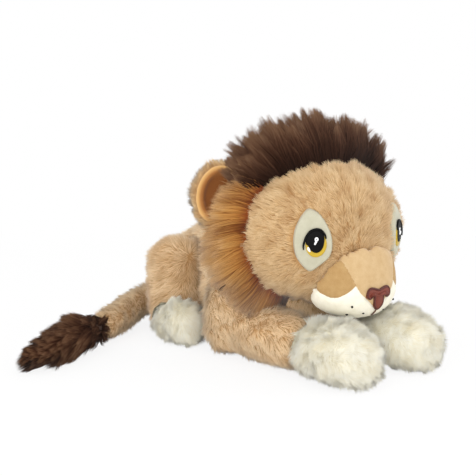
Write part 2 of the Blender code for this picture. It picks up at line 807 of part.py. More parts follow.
def make_eyes(head_skin):
    for word, side in SIDES:
        facing = Matrix.Rotation(side * EYE_FACING, 4, "Z") @ Matrix.Rotation(math.pi / 2, 4, "X")
        lean = Matrix.Rotation(-side * EYE_LEAN, 4, "Z")
        place = Vector((side * EYE_SIDE, EYE_Y, EYE_MIDDLE))
        frame = Matrix.Translation(place) @ facing @ lean
        outline = [(side * x * PATCH_HALF_WIDTH, y * (PATCH_RISE if y > 0 else PATCH_DROP))
                   for x, y in PATCH_OUTLINE_SHARES]
        pocket = prism(f"eye_pocket_{word}", outline, frame, EYE_REACH)
        swell_flat(pocket, CLEARANCE)
        combine(pocket, soft(f"eye_bed_{word}", HEAD_FORM))
        combine(head_skin, pocket)
        patch = applique(f"eye_patch_{word}", outline, frame, EYE_REACH, HEAD_FORM,
                         CLEARANCE, LAYER + CLEARANCE, CREAM_SUEDE)
        combine(patch, MUZZLE_GROWN)
        low = LAYER + CLEARANCE + CLEARANCE
        applique(f"iris_{word}", ring(IRIS_RADIUS, IRIS_STRETCH_SHARE, 0, DISC_SIDES), frame,
                 EYE_REACH, HEAD_FORM, low, low + LAYER, IRIS_THREAD)
        low += LAYER + CLEARANCE
        applique(f"pupil_{word}", ring(PUPIL_RADIUS, IRIS_STRETCH_SHARE, PUPIL_RAISE, DISC_SIDES),
                 frame, EYE_REACH, HEAD_FORM, low, low + LAYER, PUPIL_THREAD)
        low += LAYER + CLEARANCE
        applique(f"eye_glint_{word}", ring(GLINT_RADIUS, 1, GLINT_RAISE, GLINT_SIDES), frame,
                 EYE_REACH, HEAD_FORM, low, low + LAYER, GLINT_THREAD)


def make_nose():
    half = [(x * NOSE_HALF_WIDTH, y * NOSE_HEIGHT) for x, y in NOSE_OUTLINE_SHARES]
    stem = [(NOSE_STEM_HALF, -NOSE_HEIGHT * NOSE_STEM_SHARE), (NOSE_STEM_HALF / 2, -NOSE_HEIGHT)]
    right = half + stem
    left = [(-x, y) for x, y in reversed(right) if x > 0]
    front_view = Matrix.Translation(Vector((0, MUZZLE_FRONT, NOSE_TOP)))
    frame = front_view @ Matrix.Rotation(math.pi / 2, 4, "X")
    reach = MUZZLE_HALF_WIDTH
    applique("nose", right + left, frame, reach, MUZZLE_FORM, CLEARANCE,
             CLEARANCE + NOSE_THICKNESS, NOSE_THREAD)


def arc_mesh(name, centre, reach, angles, shares, section, lean=0.0, forward=0.0):
    """A cage that bends over the head, in rings square to an arc between two angles.

    reach is the arc's half width and rise; section is a ring's half width, rise and drop.
    forward carries the low end of the arc towards the nose.
    """
    start, stop = angles
    half_width, rise, drop = section
    sections = []
    for i, share in enumerate(shares):
        part_way = i / (len(shares) - 1)
        angle = start + (stop - start) * part_way
        outward = Vector((math.cos(angle), 0, math.sin(angle)))
        along = (ALONG * math.cos(lean) + outward * math.sin(lean)).normalized()
        square = (outward * math.cos(lean) - ALONG * math.sin(lean)).normalized()
        middle = centre + Vector((reach[0] * outward.x, -forward * part_way, reach[1] * outward.z))
        sections.append((middle, along, square, half_width * share, rise * share, drop))
    return rings_mesh(name, sections, LIMB_SIDES)


def ear_frame(side):
    """The ear's own frame: +X out from the head, +Z up along its root, -Y where it opens."""
    spread = Matrix.Rotation(-side * EAR_SPREAD, 4, "Y")
    turn = Matrix.Rotation(side * EAR_TURN, 4, "Z")
    mirror = Matrix.Scale(side, 4, ACROSS)
    place = Vector((side * EAR_SIDE, EAR_Y, EAR_MIDDLE))
    return Matrix.Translation(place) @ spread @ turn @ mirror


def oval(name, frame, shift, shrink, home=None):
    """A round-ended ear body, moved along its opening and made smaller by a wall.

    What is moved is also turned by half a side, so that its edges miss the other oval's.
    """
    tall = EAR_HALF_HEIGHT - shrink
    bm = bmesh.new()
    bmesh.ops.create_uvsphere(bm, u_segments=EAR_SIDES, v_segments=EAR_RINGS, radius=tall)
    shares = Vector(((EAR_HALF_WIDTH - shrink) / tall, (EAR_HALF_DEPTH - shrink) / tall, 1))
    if shift:
        half_side = Matrix.Rotation(math.pi / EAR_SIDES, 3, "Z")
        bmesh.ops.rotate(bm, verts=bm.verts, cent=Vector((0, 0, 0)), matrix=half_side)
    bmesh.ops.scale(bm, verts=bm.verts, vec=shares)
    bmesh.ops.translate(bm, verts=bm.verts, vec=Vector((0, -shift, 0)))
    bm.transform(frame)
    return add_object(name, finish_mesh(name, bm), home)


EAR_OUTLINES = {side: oval(f"ear_{word}_grown", ear_frame(side), 0, -CLEARANCE)
                for word, side in SIDES}


def make_ears():
    for word, side in SIDES:
        frame = ear_frame(side)
        back = oval(f"ear_{word}_back", frame, 0, 0, LION)
        combine(back, oval(f"ear_{word}_cup", frame, EAR_HOLLOW_SHIFT, EAR_WALL))
        combine(back, HEAD_GROWN)
        paint(back, TAN_FUR, PILE_ROUGHNESS)
        lining = oval(f"ear_{word}_lining", frame, EAR_HOLLOW_SHIFT, EAR_WALL + CLEARANCE, LION)
        combine(lining, oval(f"ear_{word}_space", frame, EAR_HOLLOW_SHIFT, EAR_WALL + EAR_LINING))
        combine(lining, oval(f"ear_{word}_outline", frame, 0, 0), "INTERSECT")
        combine(lining, HEAD_GROWN)
        paint(lining, TAN_SUEDE, SUEDE_ROUGHNESS)


def make_hair():
    centre = Vector((0, CREST_Y, HEAD_MIDDLE))
    crest_form = arc_mesh("crest_form", centre, (HEAD_HALF_WIDTH, HEAD_RISE),
                          (CREST_FROM, CREST_TO), CREST_HEIGHT_SHARES,
                          (CREST_HALF_THICKNESS, CREST_PILE, CREST_ROOT))
    crest = soft("crest", crest_form, LION)
    combine(crest, HEAD_GROWN)
    paint(crest, BROWN_FUR, PILE_ROUGHNESS)
    cutters = [soft("crest_grown", crest_form, grow=CLEARANCE)]
    for word, side in SIDES:
        start = MANE_FROM if side == LEFT else math.pi - MANE_FROM
        stop = MANE_TO if side == LEFT else math.pi - MANE_TO
        mane_form = arc_mesh(f"mane_{word}_form", Vector((0, MANE_Y, HEAD_MIDDLE)),
                             (MANE_RADIUS, MANE_RADIUS), (start, stop), MANE_END_SHARES,
                             (MANE_HALF_WIDTH, MANE_HALF_THICKNESS, MANE_HALF_THICKNESS),
                             MANE_LEAN, MANE_FORWARD)
        mane = soft(f"mane_{word}", mane_form, LION)
        combine(mane, HEAD_GROWN)
        combine(mane, cutters[0])
        combine(mane, soft(f"forearm_{word}_room", forearm_mesh(side), grow=MANE_ROOM))
        shoulder_room = placed_turned(f"shoulder_{word}_room", shoulder_profile(),
                                      LEG_PLACES[side], SHOULDER_ROOM)
        combine(mane, shoulder_room)
        combine(mane, EAR_OUTLINES[side])
        clear_of_torso(mane)
        paint(mane, GINGER_FUR, PILE_ROUGHNESS)
        cutters += [soft(f"mane_{word}_grown", mane_form, grow=CLEARANCE), shoulder_room]
    nape = soft("mane_back", HEAD_FORM, LION, grow=HEAD_PILE + NAPE_PILE)
    combine(nape, HEAD_GROWN)
    combine(nape, half_space("nape_front", Vector((0, NAPE_FRONT, HEAD_MIDDLE)),
                             Matrix.Rotation(-math.pi / 2, 4, "X")))
    for cutter in cutters + list(EAR_OUTLINES.values()):
        combine(nape, cutter)
    clear_of_torso(nape)
    paint(nape, BROWN_FUR, PILE_ROUGHNESS)


def hang(pivot, place, words):
    """Parents the pieces of a moving body to an empty on its joint's axis."""
    empty = bpy.data.objects.new(f"{pivot}_pivot", None)
    PIVOTS.objects.link(empty)
    empty.location = place
    for piece in LION.objects:
        if piece.name.startswith(words):
            piece.parent = empty
            piece.matrix_parent_inverse = Matrix.Translation(place).inverted()


def make_pivots():
    hang("head", NECK_PIVOT, ("head_", "muzzle_", "eye_", "iris_", "pupil_", "nose", "ear_",
                              "crest", "mane_"))
    hang("neck", NECK_PIVOT, ("neck",))
    hang("tail", TAIL_POINTS[0], ("tail_",))
    for word, side in SIDES:
        hang(f"front_leg_{word}", LEG_PLACES[side], (f"front_leg_{word}", f"front_paw_{word}"))
        hang(f"hind_leg_{word}", HAUNCH_PLACES[side], (f"haunch_{word}", f"hind_paw_{word}"))


make_torso()
make_neck()
HEAD_SKIN = make_head()
make_legs()
make_tail()
make_muzzle()
make_eyes(HEAD_SKIN)
make_nose()
make_ears()
make_hair()
make_pivots()
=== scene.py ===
# %% [markdown]
# # A stuffed lion lying on its belly
# The real one is sewn from short plush, smooth suede and long pile, and filled with loose fibre.
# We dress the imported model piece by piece: first the camera and the light, then the cloth,
# then the stuffed forms, the pile and the long hair, and last the face.

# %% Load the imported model
import math

import bmesh
import bpy
import numpy as np
from mathutils import Matrix, Vector
from mathutils.bvhtree import BVHTree
from mathutils.kdtree import KDTree


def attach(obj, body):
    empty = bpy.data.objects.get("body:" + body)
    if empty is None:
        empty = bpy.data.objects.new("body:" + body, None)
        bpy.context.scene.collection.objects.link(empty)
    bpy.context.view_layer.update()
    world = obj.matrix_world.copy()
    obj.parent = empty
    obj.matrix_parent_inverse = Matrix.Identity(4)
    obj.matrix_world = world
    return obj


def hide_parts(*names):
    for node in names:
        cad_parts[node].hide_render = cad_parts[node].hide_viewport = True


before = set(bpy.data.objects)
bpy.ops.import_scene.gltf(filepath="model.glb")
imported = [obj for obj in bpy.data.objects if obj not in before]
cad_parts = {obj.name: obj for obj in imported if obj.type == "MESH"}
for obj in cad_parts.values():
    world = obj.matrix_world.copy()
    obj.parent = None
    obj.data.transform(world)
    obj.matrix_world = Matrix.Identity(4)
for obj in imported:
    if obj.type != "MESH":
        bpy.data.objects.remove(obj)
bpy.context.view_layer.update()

RIGHT, LEFT = -1, 1
SIDES = (("right", RIGHT), ("left", LEFT))

# %% [markdown]
# ## Small helpers
# An operator acts on all that is selected, so each step starts by picking its own piece.
# Colours are written as sRGB hex, as on a screen, and one function makes them linear for the
# shader.

# %% Picking pieces, finishing modifiers, reading and writing points


def pick(*pieces):
    """Selects these pieces alone, and makes the first one the active one."""
    bpy.ops.object.select_all(action="DESELECT")
    for piece in pieces:
        piece.select_set(True)
    bpy.context.view_layer.objects.active = pieces[0]


def finish_with(piece, kind, **settings):
    """Adds a modifier with its settings, and applies it."""
    pick(piece)
    bpy.ops.object.modifier_add(type=kind)
    modifier = piece.modifiers[-1]
    for name, value in settings.items():
        setattr(modifier, name, value)
    bpy.ops.object.modifier_apply(modifier=modifier.name)


def in_edit_mode(piece, *steps):
    """Runs edit-mode steps on all of a piece."""
    pick(piece)
    bpy.ops.object.mode_set(mode="EDIT")
    bpy.ops.mesh.select_all(action="SELECT")
    for step in steps:
        step()
    bpy.ops.object.mode_set(mode="OBJECT")


def points_of(piece):
    places = np.empty(len(piece.data.vertices) * 3)
    piece.data.vertices.foreach_get("co", places)
    return places.reshape(-1, 3)


def normals_of(piece):
    normals = np.empty(len(piece.data.vertices) * 3)
    piece.data.vertices.foreach_get("normal", normals)
    return normals.reshape(-1, 3)


def move_points(piece, places):
    piece.data.vertices.foreach_set("co", np.asarray(places, float).ravel())
    piece.data.update()


def unit(rows):
    return rows / np.maximum(np.linalg.norm(rows, axis=1, keepdims=True), 1e-9)


# %% Colours and shader nodes


def linear(colour):
    """An sRGB hex colour as the linear values that the shader wants."""
    channels = [int(colour[i : i + 2], 16) / 255 for i in (1, 3, 5)]
    return (*[c / 12.92 if c <= 0.04045 else ((c + 0.055) / 1.055) ** 2.4 for c in channels], 1.0)


def add(tree, kind, settings=None, links=None):
    """Adds one shader node: settings go to its properties or sockets, and links join sockets."""
    made = tree.nodes.new(kind)
    for name, value in (settings or {}).items():
        if isinstance(name, str) and hasattr(made, name):
            setattr(made, name, value)
        else:
            made.inputs[name].default_value = value
    for socket, source in (links or {}).items():
        tree.links.new(source, made.inputs[socket])
    return made


def new_material(name):
    """An empty material with its output node."""
    made = bpy.data.materials.new(name)
    made.use_nodes = True
    made.node_tree.nodes.clear()
    return made, made.node_tree


def colour_steps(tree, steps, source):
    """A ramp with one sRGB colour at each place."""
    ramp = add(tree, "ShaderNodeValToRGB", links={"Fac": source})
    elements = ramp.color_ramp.elements
    while len(elements) < len(steps):
        elements.new(0.5)
    for element, (place, colour) in zip(elements, steps):
        element.position = place
        element.color = linear(colour)
    return ramp.outputs["Color"]


# %% [markdown]
# ## Camera, light and floor
# The picture was taken from the lion's right and a little above, with the nose about 40 degrees
# off the view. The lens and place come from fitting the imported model's outline to the picture.
# Even, soft studio light comes from a pale world and three large lamps: a weak one above, one at
# the far side, and the strongest beside the camera.

# %% Camera
PICTURE_SIDE = 476
FOCAL_PIXELS = 842
SENSOR = 36
CAMERA_TURN = math.radians(40)
CAMERA_DISTANCE = 0.85
CAMERA_HEIGHT = 0.232
AIM_PIXEL = (271, 340)

towards = Vector((-math.sin(CAMERA_TURN), -math.cos(CAMERA_TURN), 0))
sideways = Vector((math.cos(CAMERA_TURN), -math.sin(CAMERA_TURN), 0))
middle = PICTURE_SIDE / 2
drop = math.atan((AIM_PIXEL[1] - middle) / FOCAL_PIXELS)
pitch = math.atan2(CAMERA_HEIGHT, CAMERA_DISTANCE) - drop
yaw = math.atan((AIM_PIXEL[0] - middle) / FOCAL_PIXELS / math.cos(drop))
ahead = -towards * math.cos(yaw) - sideways * math.sin(yaw)
view = ahead * math.cos(pitch) - Vector((0, 0, 1)) * math.sin(pitch)

bpy.ops.object.select_all(action="DESELECT")
bpy.ops.object.camera_add(location=towards * CAMERA_DISTANCE + Vector((0, 0, CAMERA_HEIGHT)))
camera = bpy.context.object
camera.name = "camera"
camera.rotation_euler = view.to_track_quat("-Z", "Y").to_euler()
camera.data.sensor_width = SENSOR
camera.data.lens = FOCAL_PIXELS * SENSOR / PICTURE_SIDE
bpy.context.scene.camera = camera
print("lens", round(camera.data.lens, 1), "mm, pitch", round(math.degrees(pitch), 1), "degrees")

# %% Lamps and world


def soft_lamp(name, place, aim, side, power):
    """A square lamp that points at the aim."""
    bpy.ops.object.light_add(type="AREA", location=place)
    lamp = bpy.context.object
    lamp.name = name
    lamp.data.size = side
    lamp.data.energy = power
    lamp.rotation_euler = (Vector(aim) - Vector(place)).to_track_quat("-Z", "Y").to_euler()


soft_lamp("lamp_above", (-0.25, -0.45, 1.10), (0, 0, 0.08), 0.9, 2.0)
soft_lamp("lamp_side", (0.95, -0.75, 0.55), (0, -0.03, 0.10), 0.8, 3.0)
soft_lamp("lamp_camera", (-1.05, -0.80, 0.38), (0, -0.02, 0.07), 0.9, 7.5)

world = bpy.data.worlds.new("pale_studio")
bpy.context.scene.world = world
world.use_nodes = True
tree = world.node_tree
tree.nodes.clear()


def looked_at(tree):
    """1 for what the camera sees, straight or in gloss or glass, and 0 for what lights it."""
    rays = add(tree, "ShaderNodeLightPath")
    seen = add(tree, "ShaderNodeMath", {"operation": "MAXIMUM"},
               {0: rays.outputs["Is Camera Ray"], 1: rays.outputs["Is Glossy Ray"]})
    return add(tree, "ShaderNodeMath", {"operation": "MAXIMUM"},
               {0: seen.outputs[0], 1: rays.outputs["Is Transmission Ray"]}).outputs[0]


ambient = add(tree, "ShaderNodeBackground", {"Color": (1, 1, 1, 1), "Strength": 0.94})
backdrop = add(tree, "ShaderNodeBackground", {"Color": (1, 1, 1, 1), "Strength": 1.0})
mixed = add(tree, "ShaderNodeMixShader",
            links={0: looked_at(tree), 1: ambient.outputs[0], 2: backdrop.outputs[0]})
add(tree, "ShaderNodeOutputWorld", links={"Surface": mixed.outputs[0]})
scene = bpy.context.scene
scene.view_settings.view_transform = "Standard"

# %% Floor
# Near the lion the floor shows a little grey, and it grows to pure white with distance, so that
# no horizon shows.
NEAR_FLOOR, FAR_FLOOR, NEAR_WHITE = 0.35, 0.9, 0.86

bpy.ops.mesh.primitive_plane_add(size=6, location=(0, 0, 0))
floor = bpy.context.object
floor.name = "floor"
paper, tree = new_material("white_studio_paper")
plain = add(tree, "ShaderNodeBsdfDiffuse", {"Color": linear("#F4F4F4")})
lit = add(tree, "ShaderNodeEmission", {"Color": (1, 1, 1, 1), "Strength": 1.0})
places = add(tree, "ShaderNodeTexCoord")
reach = add(tree, "ShaderNodeVectorMath", {"operation": "LENGTH"},
            {0: places.outputs["Object"]})
bright = add(tree, "ShaderNodeMapRange",
             {"From Min": NEAR_FLOOR, "From Max": FAR_FLOOR, "To Min": NEAR_WHITE, "To Max": 1.0},
             {"Value": reach.outputs["Value"]})
share = add(tree, "ShaderNodeMath", {"operation": "MULTIPLY"},
            {0: looked_at(tree), 1: bright.outputs["Result"]})
mixed = add(tree, "ShaderNodeMixShader",
            links={0: share.outputs[0], 1: plain.outputs[0], 2: lit.outputs[0]})
add(tree, "ShaderNodeOutputMaterial", links={"Surface": mixed.outputs[0]})
floor.data.materials.append(paper)

# %% [markdown]
# ## Cloth and thread
# The plush is polyester pile, matt with a soft sheen; painted shade darkens each hair towards its
# root.
# Each hair carries two numbers in its own UV map: along it, from root to tip, and a tint
# that differs from hair to hair. Colour then follows the hair, whatever way it lies.

# %% Pile, from root to tip
PILE_ROUGHNESS = 0.9


def pile_material(name, along, tint, sheen=0.2, gloss=0.15):
    """Polyester pile: ramps give the colour along a hair, darker at the root as painted shade, and
    the tint of each hair.
    """
    made, tree = new_material(name)
    spots = add(tree, "ShaderNodeUVMap", {"uv_map": "OFBake"})
    split = add(tree, "ShaderNodeSeparateXYZ", links={0: spots.outputs["UV"]})
    # Painted shade: the ramp along a hair is darker at the root, for the shadow between hairs.
    hair = colour_steps(tree, along, split.outputs["Y"])
    each = colour_steps(tree, tint, split.outputs["X"])
    mix = add(tree, "ShaderNodeMix", {"data_type": "RGBA", "blend_type": "MULTIPLY", 0: 1.0},
              {6: hair, 7: each})
    shader = add(tree, "ShaderNodeBsdfPrincipled",
                 {"Roughness": PILE_ROUGHNESS, "Sheen Weight": sheen, "Sheen Roughness": 0.5,
                  "Specular IOR Level": gloss},
                 {"Base Color": mix.outputs[2]})
    add(tree, "ShaderNodeOutputMaterial", links={"Surface": shader.outputs[0]})
    return made


tan_pile = pile_material(
    "tan_polyester_plush",
    [(0.0, "#B08858"), (0.35, "#DAB684"), (1.0, "#F2D8AE")],
    [(0.0, "#D8C6B4"), (0.5, "#F6F0EA"), (1.0, "#FFFFFF")])
pale_pile = pile_material(
    "pale_tan_polyester_plush",
    [(0.0, "#CCAA80"), (0.35, "#F2D2A6"), (1.0, "#FFEAC8")],
    [(0.0, "#D8C8B6"), (0.5, "#F8F3EE"), (1.0, "#FFFFFF")])
cream_pile = pile_material(
    "cream_polyester_plush",
    [(0.0, "#F2ECD4"), (0.4, "#FCF8E8"), (1.0, "#FFFEF4")],
    [(0.0, "#F6F0E0"), (0.5, "#FDFBF4"), (1.0, "#FFFFFF")])
# The long pile's darker roots are partly its own colour and partly painted shade.
ginger_pile = pile_material(
    "ginger_long_pile",
    [(0.0, "#6E2C0C"), (0.16, "#9A501C"), (0.42, "#C48A42"), (0.75, "#D6A55E"), (1.0, "#E6C08C")],
    [(0.0, "#A07C58"), (0.5, "#F0E4D8"), (1.0, "#FFFFFF")])
brown_pile = pile_material(
    "dark_brown_long_pile",
    [(0.0, "#24150E"), (0.4, "#442C20"), (0.7, "#664836"), (1.0, "#A07E62")],
    [(0.0, "#84746A"), (0.5, "#DCCFC6"), (1.0, "#FFFFFF")], sheen=0.03, gloss=0.08)

# %% [markdown]
# Under the pile lies the knitted backing that the hairs are fixed in. It hardly shows, but it
# keeps the gaps between hairs from looking hollow, so it takes the darker colour of the hair
# roots: painted shade, as theirs is.
# The muzzle, eye patches and ear linings are suede-like velour: smooth, matt, with a fine nap.

# %% Backing cloth and suede


def cloth_material(name, colour, shade, grain, bump, roughness=0.9, sheen=0.3):
    """Cloth with a fine nap: grain is the size of its mottling in metres."""
    made, tree = new_material(name)
    places = add(tree, "ShaderNodeTexCoord")
    nap = add(tree, "ShaderNodeTexNoise", {"Scale": 1 / grain, "Detail": 4.0, "Roughness": 0.6},
              {"Vector": places.outputs["Object"]})
    broad = add(tree, "ShaderNodeTexNoise", {"Scale": 0.12 / grain, "Detail": 2.0},
                {"Vector": places.outputs["Object"]})
    both = add(tree, "ShaderNodeMath", {"operation": "ADD"},
               {0: nap.outputs["Fac"], 1: broad.outputs["Fac"]})
    half = add(tree, "ShaderNodeMath", {"operation": "MULTIPLY", 1: 0.5}, {0: both.outputs[0]})
    colours = colour_steps(tree, [(0.34, shade), (0.62, colour)], half.outputs[0])
    relief = add(tree, "ShaderNodeBump", {"Strength": bump, "Distance": 0.0006},
                 {"Height": nap.outputs["Fac"]})
    shader = add(tree, "ShaderNodeBsdfPrincipled",
                 {"Roughness": roughness, "Sheen Weight": sheen, "Sheen Roughness": 0.4,
                  "Specular IOR Level": 0.2},
                 {"Base Color": colours, "Normal": relief.outputs[0]})
    add(tree, "ShaderNodeOutputMaterial", links={"Surface": shader.outputs[0]})
    return made


# The knit's loops are 1 mm, drawn at 2 mm, and the velour's nap is 0.3 mm, drawn at 0.7 mm,
# so that they show at this picture's size.
KNIT, NAP = 0.002, 0.0007
tan_backing = cloth_material("tan_knit_backing", "#BE9464", "#AE8454", KNIT, 0.5)
cream_backing = cloth_material("cream_knit_backing", "#F0EAD4", "#E6E0C8", KNIT, 0.5)
brown_backing = cloth_material("brown_knit_backing", "#5E4434", "#4A3326", KNIT, 0.5)
tan_velour = cloth_material("tan_suede_velour", "#C9AC82", "#BD9D70", NAP, 0.25)
# The cheek panels are the bridge's tan velour, darkened as painted shade where they turn from the
# light.
side_velour_painted_shade = cloth_material("tan_suede_velour_painted_shade", "#B59464", "#A88454", NAP, 0.25)
# The lips' cream velour is lightened as painted light, for light thrown up from below.
lip_velour_painted_light = cloth_material("cream_suede_velour", "#EDE9DA", "#E4DFCC", NAP, 0.2)
# The eye patches are the same cream velour, darkened as painted shade.
patch_velour_painted_shade = cloth_material("cream_suede_velour_painted_shade", "#BDB9A4", "#B3AF98", NAP, 0.2)

# %% [markdown]
# The eyes, nose and mouth are embroidered in satin stitch: shiny rayon threads laid side by side.
# Threads are 0.4 mm wide on the real one, and drawn at 0.8 mm so that they show.

# %% Satin stitch


THREAD = 0.0008


def thread_material(name, colour, shade, across, roughness=0.42, gloss=0.4):
    """Satin stitch: bands across one direction, raised like threads, painted darker where they
    sink as painted shade.
    """
    made, tree = new_material(name)
    places = add(tree, "ShaderNodeTexCoord")
    turned = add(tree, "ShaderNodeMapping", {"Rotation": across},
                 {"Vector": places.outputs["Object"]})
    bands = add(tree, "ShaderNodeTexWave",
                {"wave_type": "BANDS", "bands_direction": "X", "Scale": 1 / THREAD / 6.2832 * 2,
                 "Distortion": 0.6, "Detail": 1.0, "Detail Scale": 2.0},
                {"Vector": turned.outputs["Vector"]})
    # Painted shade: the colour darkens with the bump, between the threads.
    colours = colour_steps(tree, [(0.0, shade), (0.6, colour)], bands.outputs["Fac"])
    relief = add(tree, "ShaderNodeBump", {"Strength": 0.35, "Distance": 0.0003},
                 {"Height": bands.outputs["Fac"]})
    shader = add(tree, "ShaderNodeBsdfPrincipled",
                 {"Roughness": roughness, "Specular IOR Level": gloss},
                 {"Base Color": colours, "Normal": relief.outputs[0]})
    add(tree, "ShaderNodeOutputMaterial", links={"Surface": shader.outputs[0]})
    return made


SLANT = (0, math.radians(20), 0)
rust_thread = thread_material("rust_rayon_thread", "#7E3420", "#5C2414", SLANT)
dark_rust_thread = thread_material("dark_rust_rayon_thread", "#5A2216", "#40160E", SLANT)
gold_thread = thread_material("gold_rayon_thread", "#CFAE2E", "#A8881C", SLANT)
black_thread = thread_material("black_rayon_thread", "#0A0909", "#040404", SLANT, 0.45, 0.12)
white_thread = thread_material("white_rayon_thread", "#FFFFFF", "#EDEDED", SLANT)
print("materials:", len(bpy.data.materials))

# %% [markdown]
# ## Stuffed forms
# Each sewn part is one closed form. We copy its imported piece, join shell and filling into one
# skin with a voxel remesh, and take the skin down by the depth that the pile will fill again.
# Then cloth pressure plumps it like filling, with a cap on how far a point may move.

# %% Copy, join and plump
FLOOR_ROOM = 0.0006
forms = {}


def keep_form(name, piece):
    """Keeps a piece's surface, for rays and for finding its nearest place."""
    forms[name] = BVHTree.FromPolygons([v.co for v in piece.data.vertices],
                                       [p.vertices for p in piece.data.polygons])


def copy_of(name, nodes):
    """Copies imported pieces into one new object, with their loose triangles merged."""
    pick(*[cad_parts[node] for node in nodes])
    bpy.ops.object.duplicate()
    copies = list(bpy.context.selected_objects)
    pick(*copies)
    if len(copies) > 1:
        bpy.ops.object.join()
    piece = bpy.context.view_layer.objects.active
    piece.name = piece.data.name = name
    piece.parent = None
    piece.matrix_world = Matrix.Identity(4)
    for key in list(piece.keys()):
        del piece[key]
    piece.data.materials.clear()
    in_edit_mode(piece, lambda: bpy.ops.mesh.remove_doubles(threshold=0.00002))
    return piece


PLUMP_STEPS = 20


def plump(piece, cap):
    """Blows the skin up with cloth pressure, and keeps every point within the cap."""
    start = points_of(piece)
    pick(piece)
    bpy.ops.object.modifier_add(type="CLOTH")
    cloth = piece.modifiers[-1]
    cloth.settings.quality = 4
    cloth.settings.use_pressure = True
    cloth.settings.uniform_pressure_force = 4
    cloth.settings.effector_weights.gravity = 0
    cloth.point_cache.frame_end = PLUMP_STEPS
    for step in range(1, PLUMP_STEPS + 1):
        scene.frame_set(step)
    seen = piece.evaluated_get(bpy.context.evaluated_depsgraph_get())
    moved = np.empty(len(start) * 3)
    seen.data.vertices.foreach_get("co", moved)
    move = moved.reshape(-1, 3) - start
    far = np.linalg.norm(move, axis=1, keepdims=True)
    bpy.ops.object.modifier_remove(modifier=cloth.name)
    move_points(piece, start + move * np.minimum(1, cap / np.maximum(far, 1e-9)))
    scene.frame_set(1)


def distance_to(places, line):
    """How far each place is from a line of joined points."""
    nearest = np.full(len(places), 9.0)
    for a, b in zip(np.array(line[:-1]), np.array(line[1:])):
        along = np.clip((places - a) @ (b - a) / ((b - a) @ (b - a)), 0, 1)[:, None]
        nearest = np.minimum(nearest, np.linalg.norm(places - a - along * (b - a), axis=1))
    return nearest


def near_lines(places, lines, width):
    """1 on these lines, and less beside them."""
    reach = np.min([distance_to(places, line) for line in lines], axis=0)
    return np.exp(-((reach / width) ** 2))


def press_in(piece, lines, depth, width):
    """Sinks the skin along some lines, as where a thread pulls it in."""
    places = points_of(piece)
    sink = near_lines(places, lines, width)[:, None] * depth
    move_points(piece, places - normals_of(piece) * sink)


def stuffed(name, nodes, material, voxel=0.005, down=0.0035, swell=0.002, smooth=4,
            creases=(), crease_depth=0.005, crease_width=0.0045):
    """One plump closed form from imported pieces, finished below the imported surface."""
    piece = copy_of(name, nodes)
    finish_with(piece, "REMESH", mode="VOXEL", voxel_size=voxel)
    finish_with(piece, "SMOOTH", factor=0.5, iterations=smooth)
    finish_with(piece, "DISPLACE", strength=-(down + swell * 0.6), mid_level=0)
    plump(piece, swell)
    finish_with(piece, "SMOOTH", factor=0.5, iterations=2)
    finish_with(piece, "SUBSURF", levels=1, render_levels=1)
    if creases:
        press_in(piece, creases, crease_depth, crease_width)
    places = points_of(piece)
    places[:, 2] = np.maximum(places[:, 2], FLOOR_ROOM)
    move_points(piece, places)
    bpy.ops.object.shade_smooth()
    piece.data.materials.append(material)
    keep_form(name, piece)
    low, high = places.min(0), places.max(0)
    print(name, len(piece.data.polygons), "faces,", np.round((high - low) * 1000).tolist(), "mm")
    return piece


# %% Creases
# Two threads shape each paw into toes, and a dart over each eye shapes the brow. The places are
# for the lion's right side, and the left side mirrors them.
TOE_LINES = (
    ((-0.0505, -0.1338, 0.0571), (-0.0590, -0.1415, 0.0538), (-0.0665, -0.1508, 0.0482),
     (-0.0701, -0.1572, 0.0415), (-0.0723, -0.1620, 0.0344)),
    ((-0.0451, -0.1467, 0.0571), (-0.0547, -0.1578, 0.0521), (-0.0593, -0.1649, 0.0457),
     (-0.0628, -0.1709, 0.0390)),
    ((-0.0334, -0.1510, 0.0554), (-0.0234, -0.1659, 0.0459), (-0.0197, -0.1752, 0.0347)))
BROW_DART = ((-0.0490, -0.1130, 0.1500), (-0.0533, -0.1068, 0.1562), (-0.0554, -0.0999, 0.1610),
             (-0.0574, -0.0943, 0.1643))


def mirrored(line, side):
    return tuple((x * -side, y, z) for x, y, z in line)


toe_creases = {word: [mirrored(line, side) for line in TOE_LINES] for word, side in SIDES}
brow_darts = [mirrored(BROW_DART, side) for _, side in SIDES]

# %% Torso, head and neck
# The cheeks are filled harder than the rest, so they are pressed outwards along this line.
CHEEK = ((-0.074, -0.102, 0.096), (-0.078, -0.096, 0.140))
torso = stuffed("torso", ["torso_skin", "torso_filling"], tan_backing)
head = stuffed("head", ["head_filling"], tan_backing, down=-0.003, swell=0.0015,
               creases=[mirrored(CHEEK, side) for _, side in SIDES], crease_depth=-0.0055,
               crease_width=0.026)
press_in(head, brow_darts, 0.0022, 0.0028)
keep_form("head", head)
neck = stuffed("neck_ball", ["neck"], tan_backing, down=0.001, swell=0.0005, smooth=1)

# %% Legs, paws, haunches and feet
limbs = {}
for word, _ in SIDES:
    limbs[f"leg_{word}"] = stuffed(f"foreleg_{word}", [f"front_leg_{word}"], tan_backing)
    limbs[f"paw_{word}"] = stuffed(f"forepaw_{word}", [f"front_paw_{word}"], cream_backing,
                                   down=0.0055, creases=toe_creases[word])
    limbs[f"haunch_{word}"] = stuffed(f"rear_thigh_{word}", [f"haunch_{word}"], tan_backing)
    limbs[f"foot_{word}"] = stuffed(f"rear_foot_{word}", [f"hind_paw_{word}"], cream_backing,
                                    voxel=0.004, down=0.0045)

# %% Tail
tube = stuffed("tail_sleeve", ["tail_tube"], tan_backing, voxel=0.004)
core = stuffed("tuft_core", ["tail_tuft"], brown_backing, voxel=0.004, down=0.009, swell=0.001)

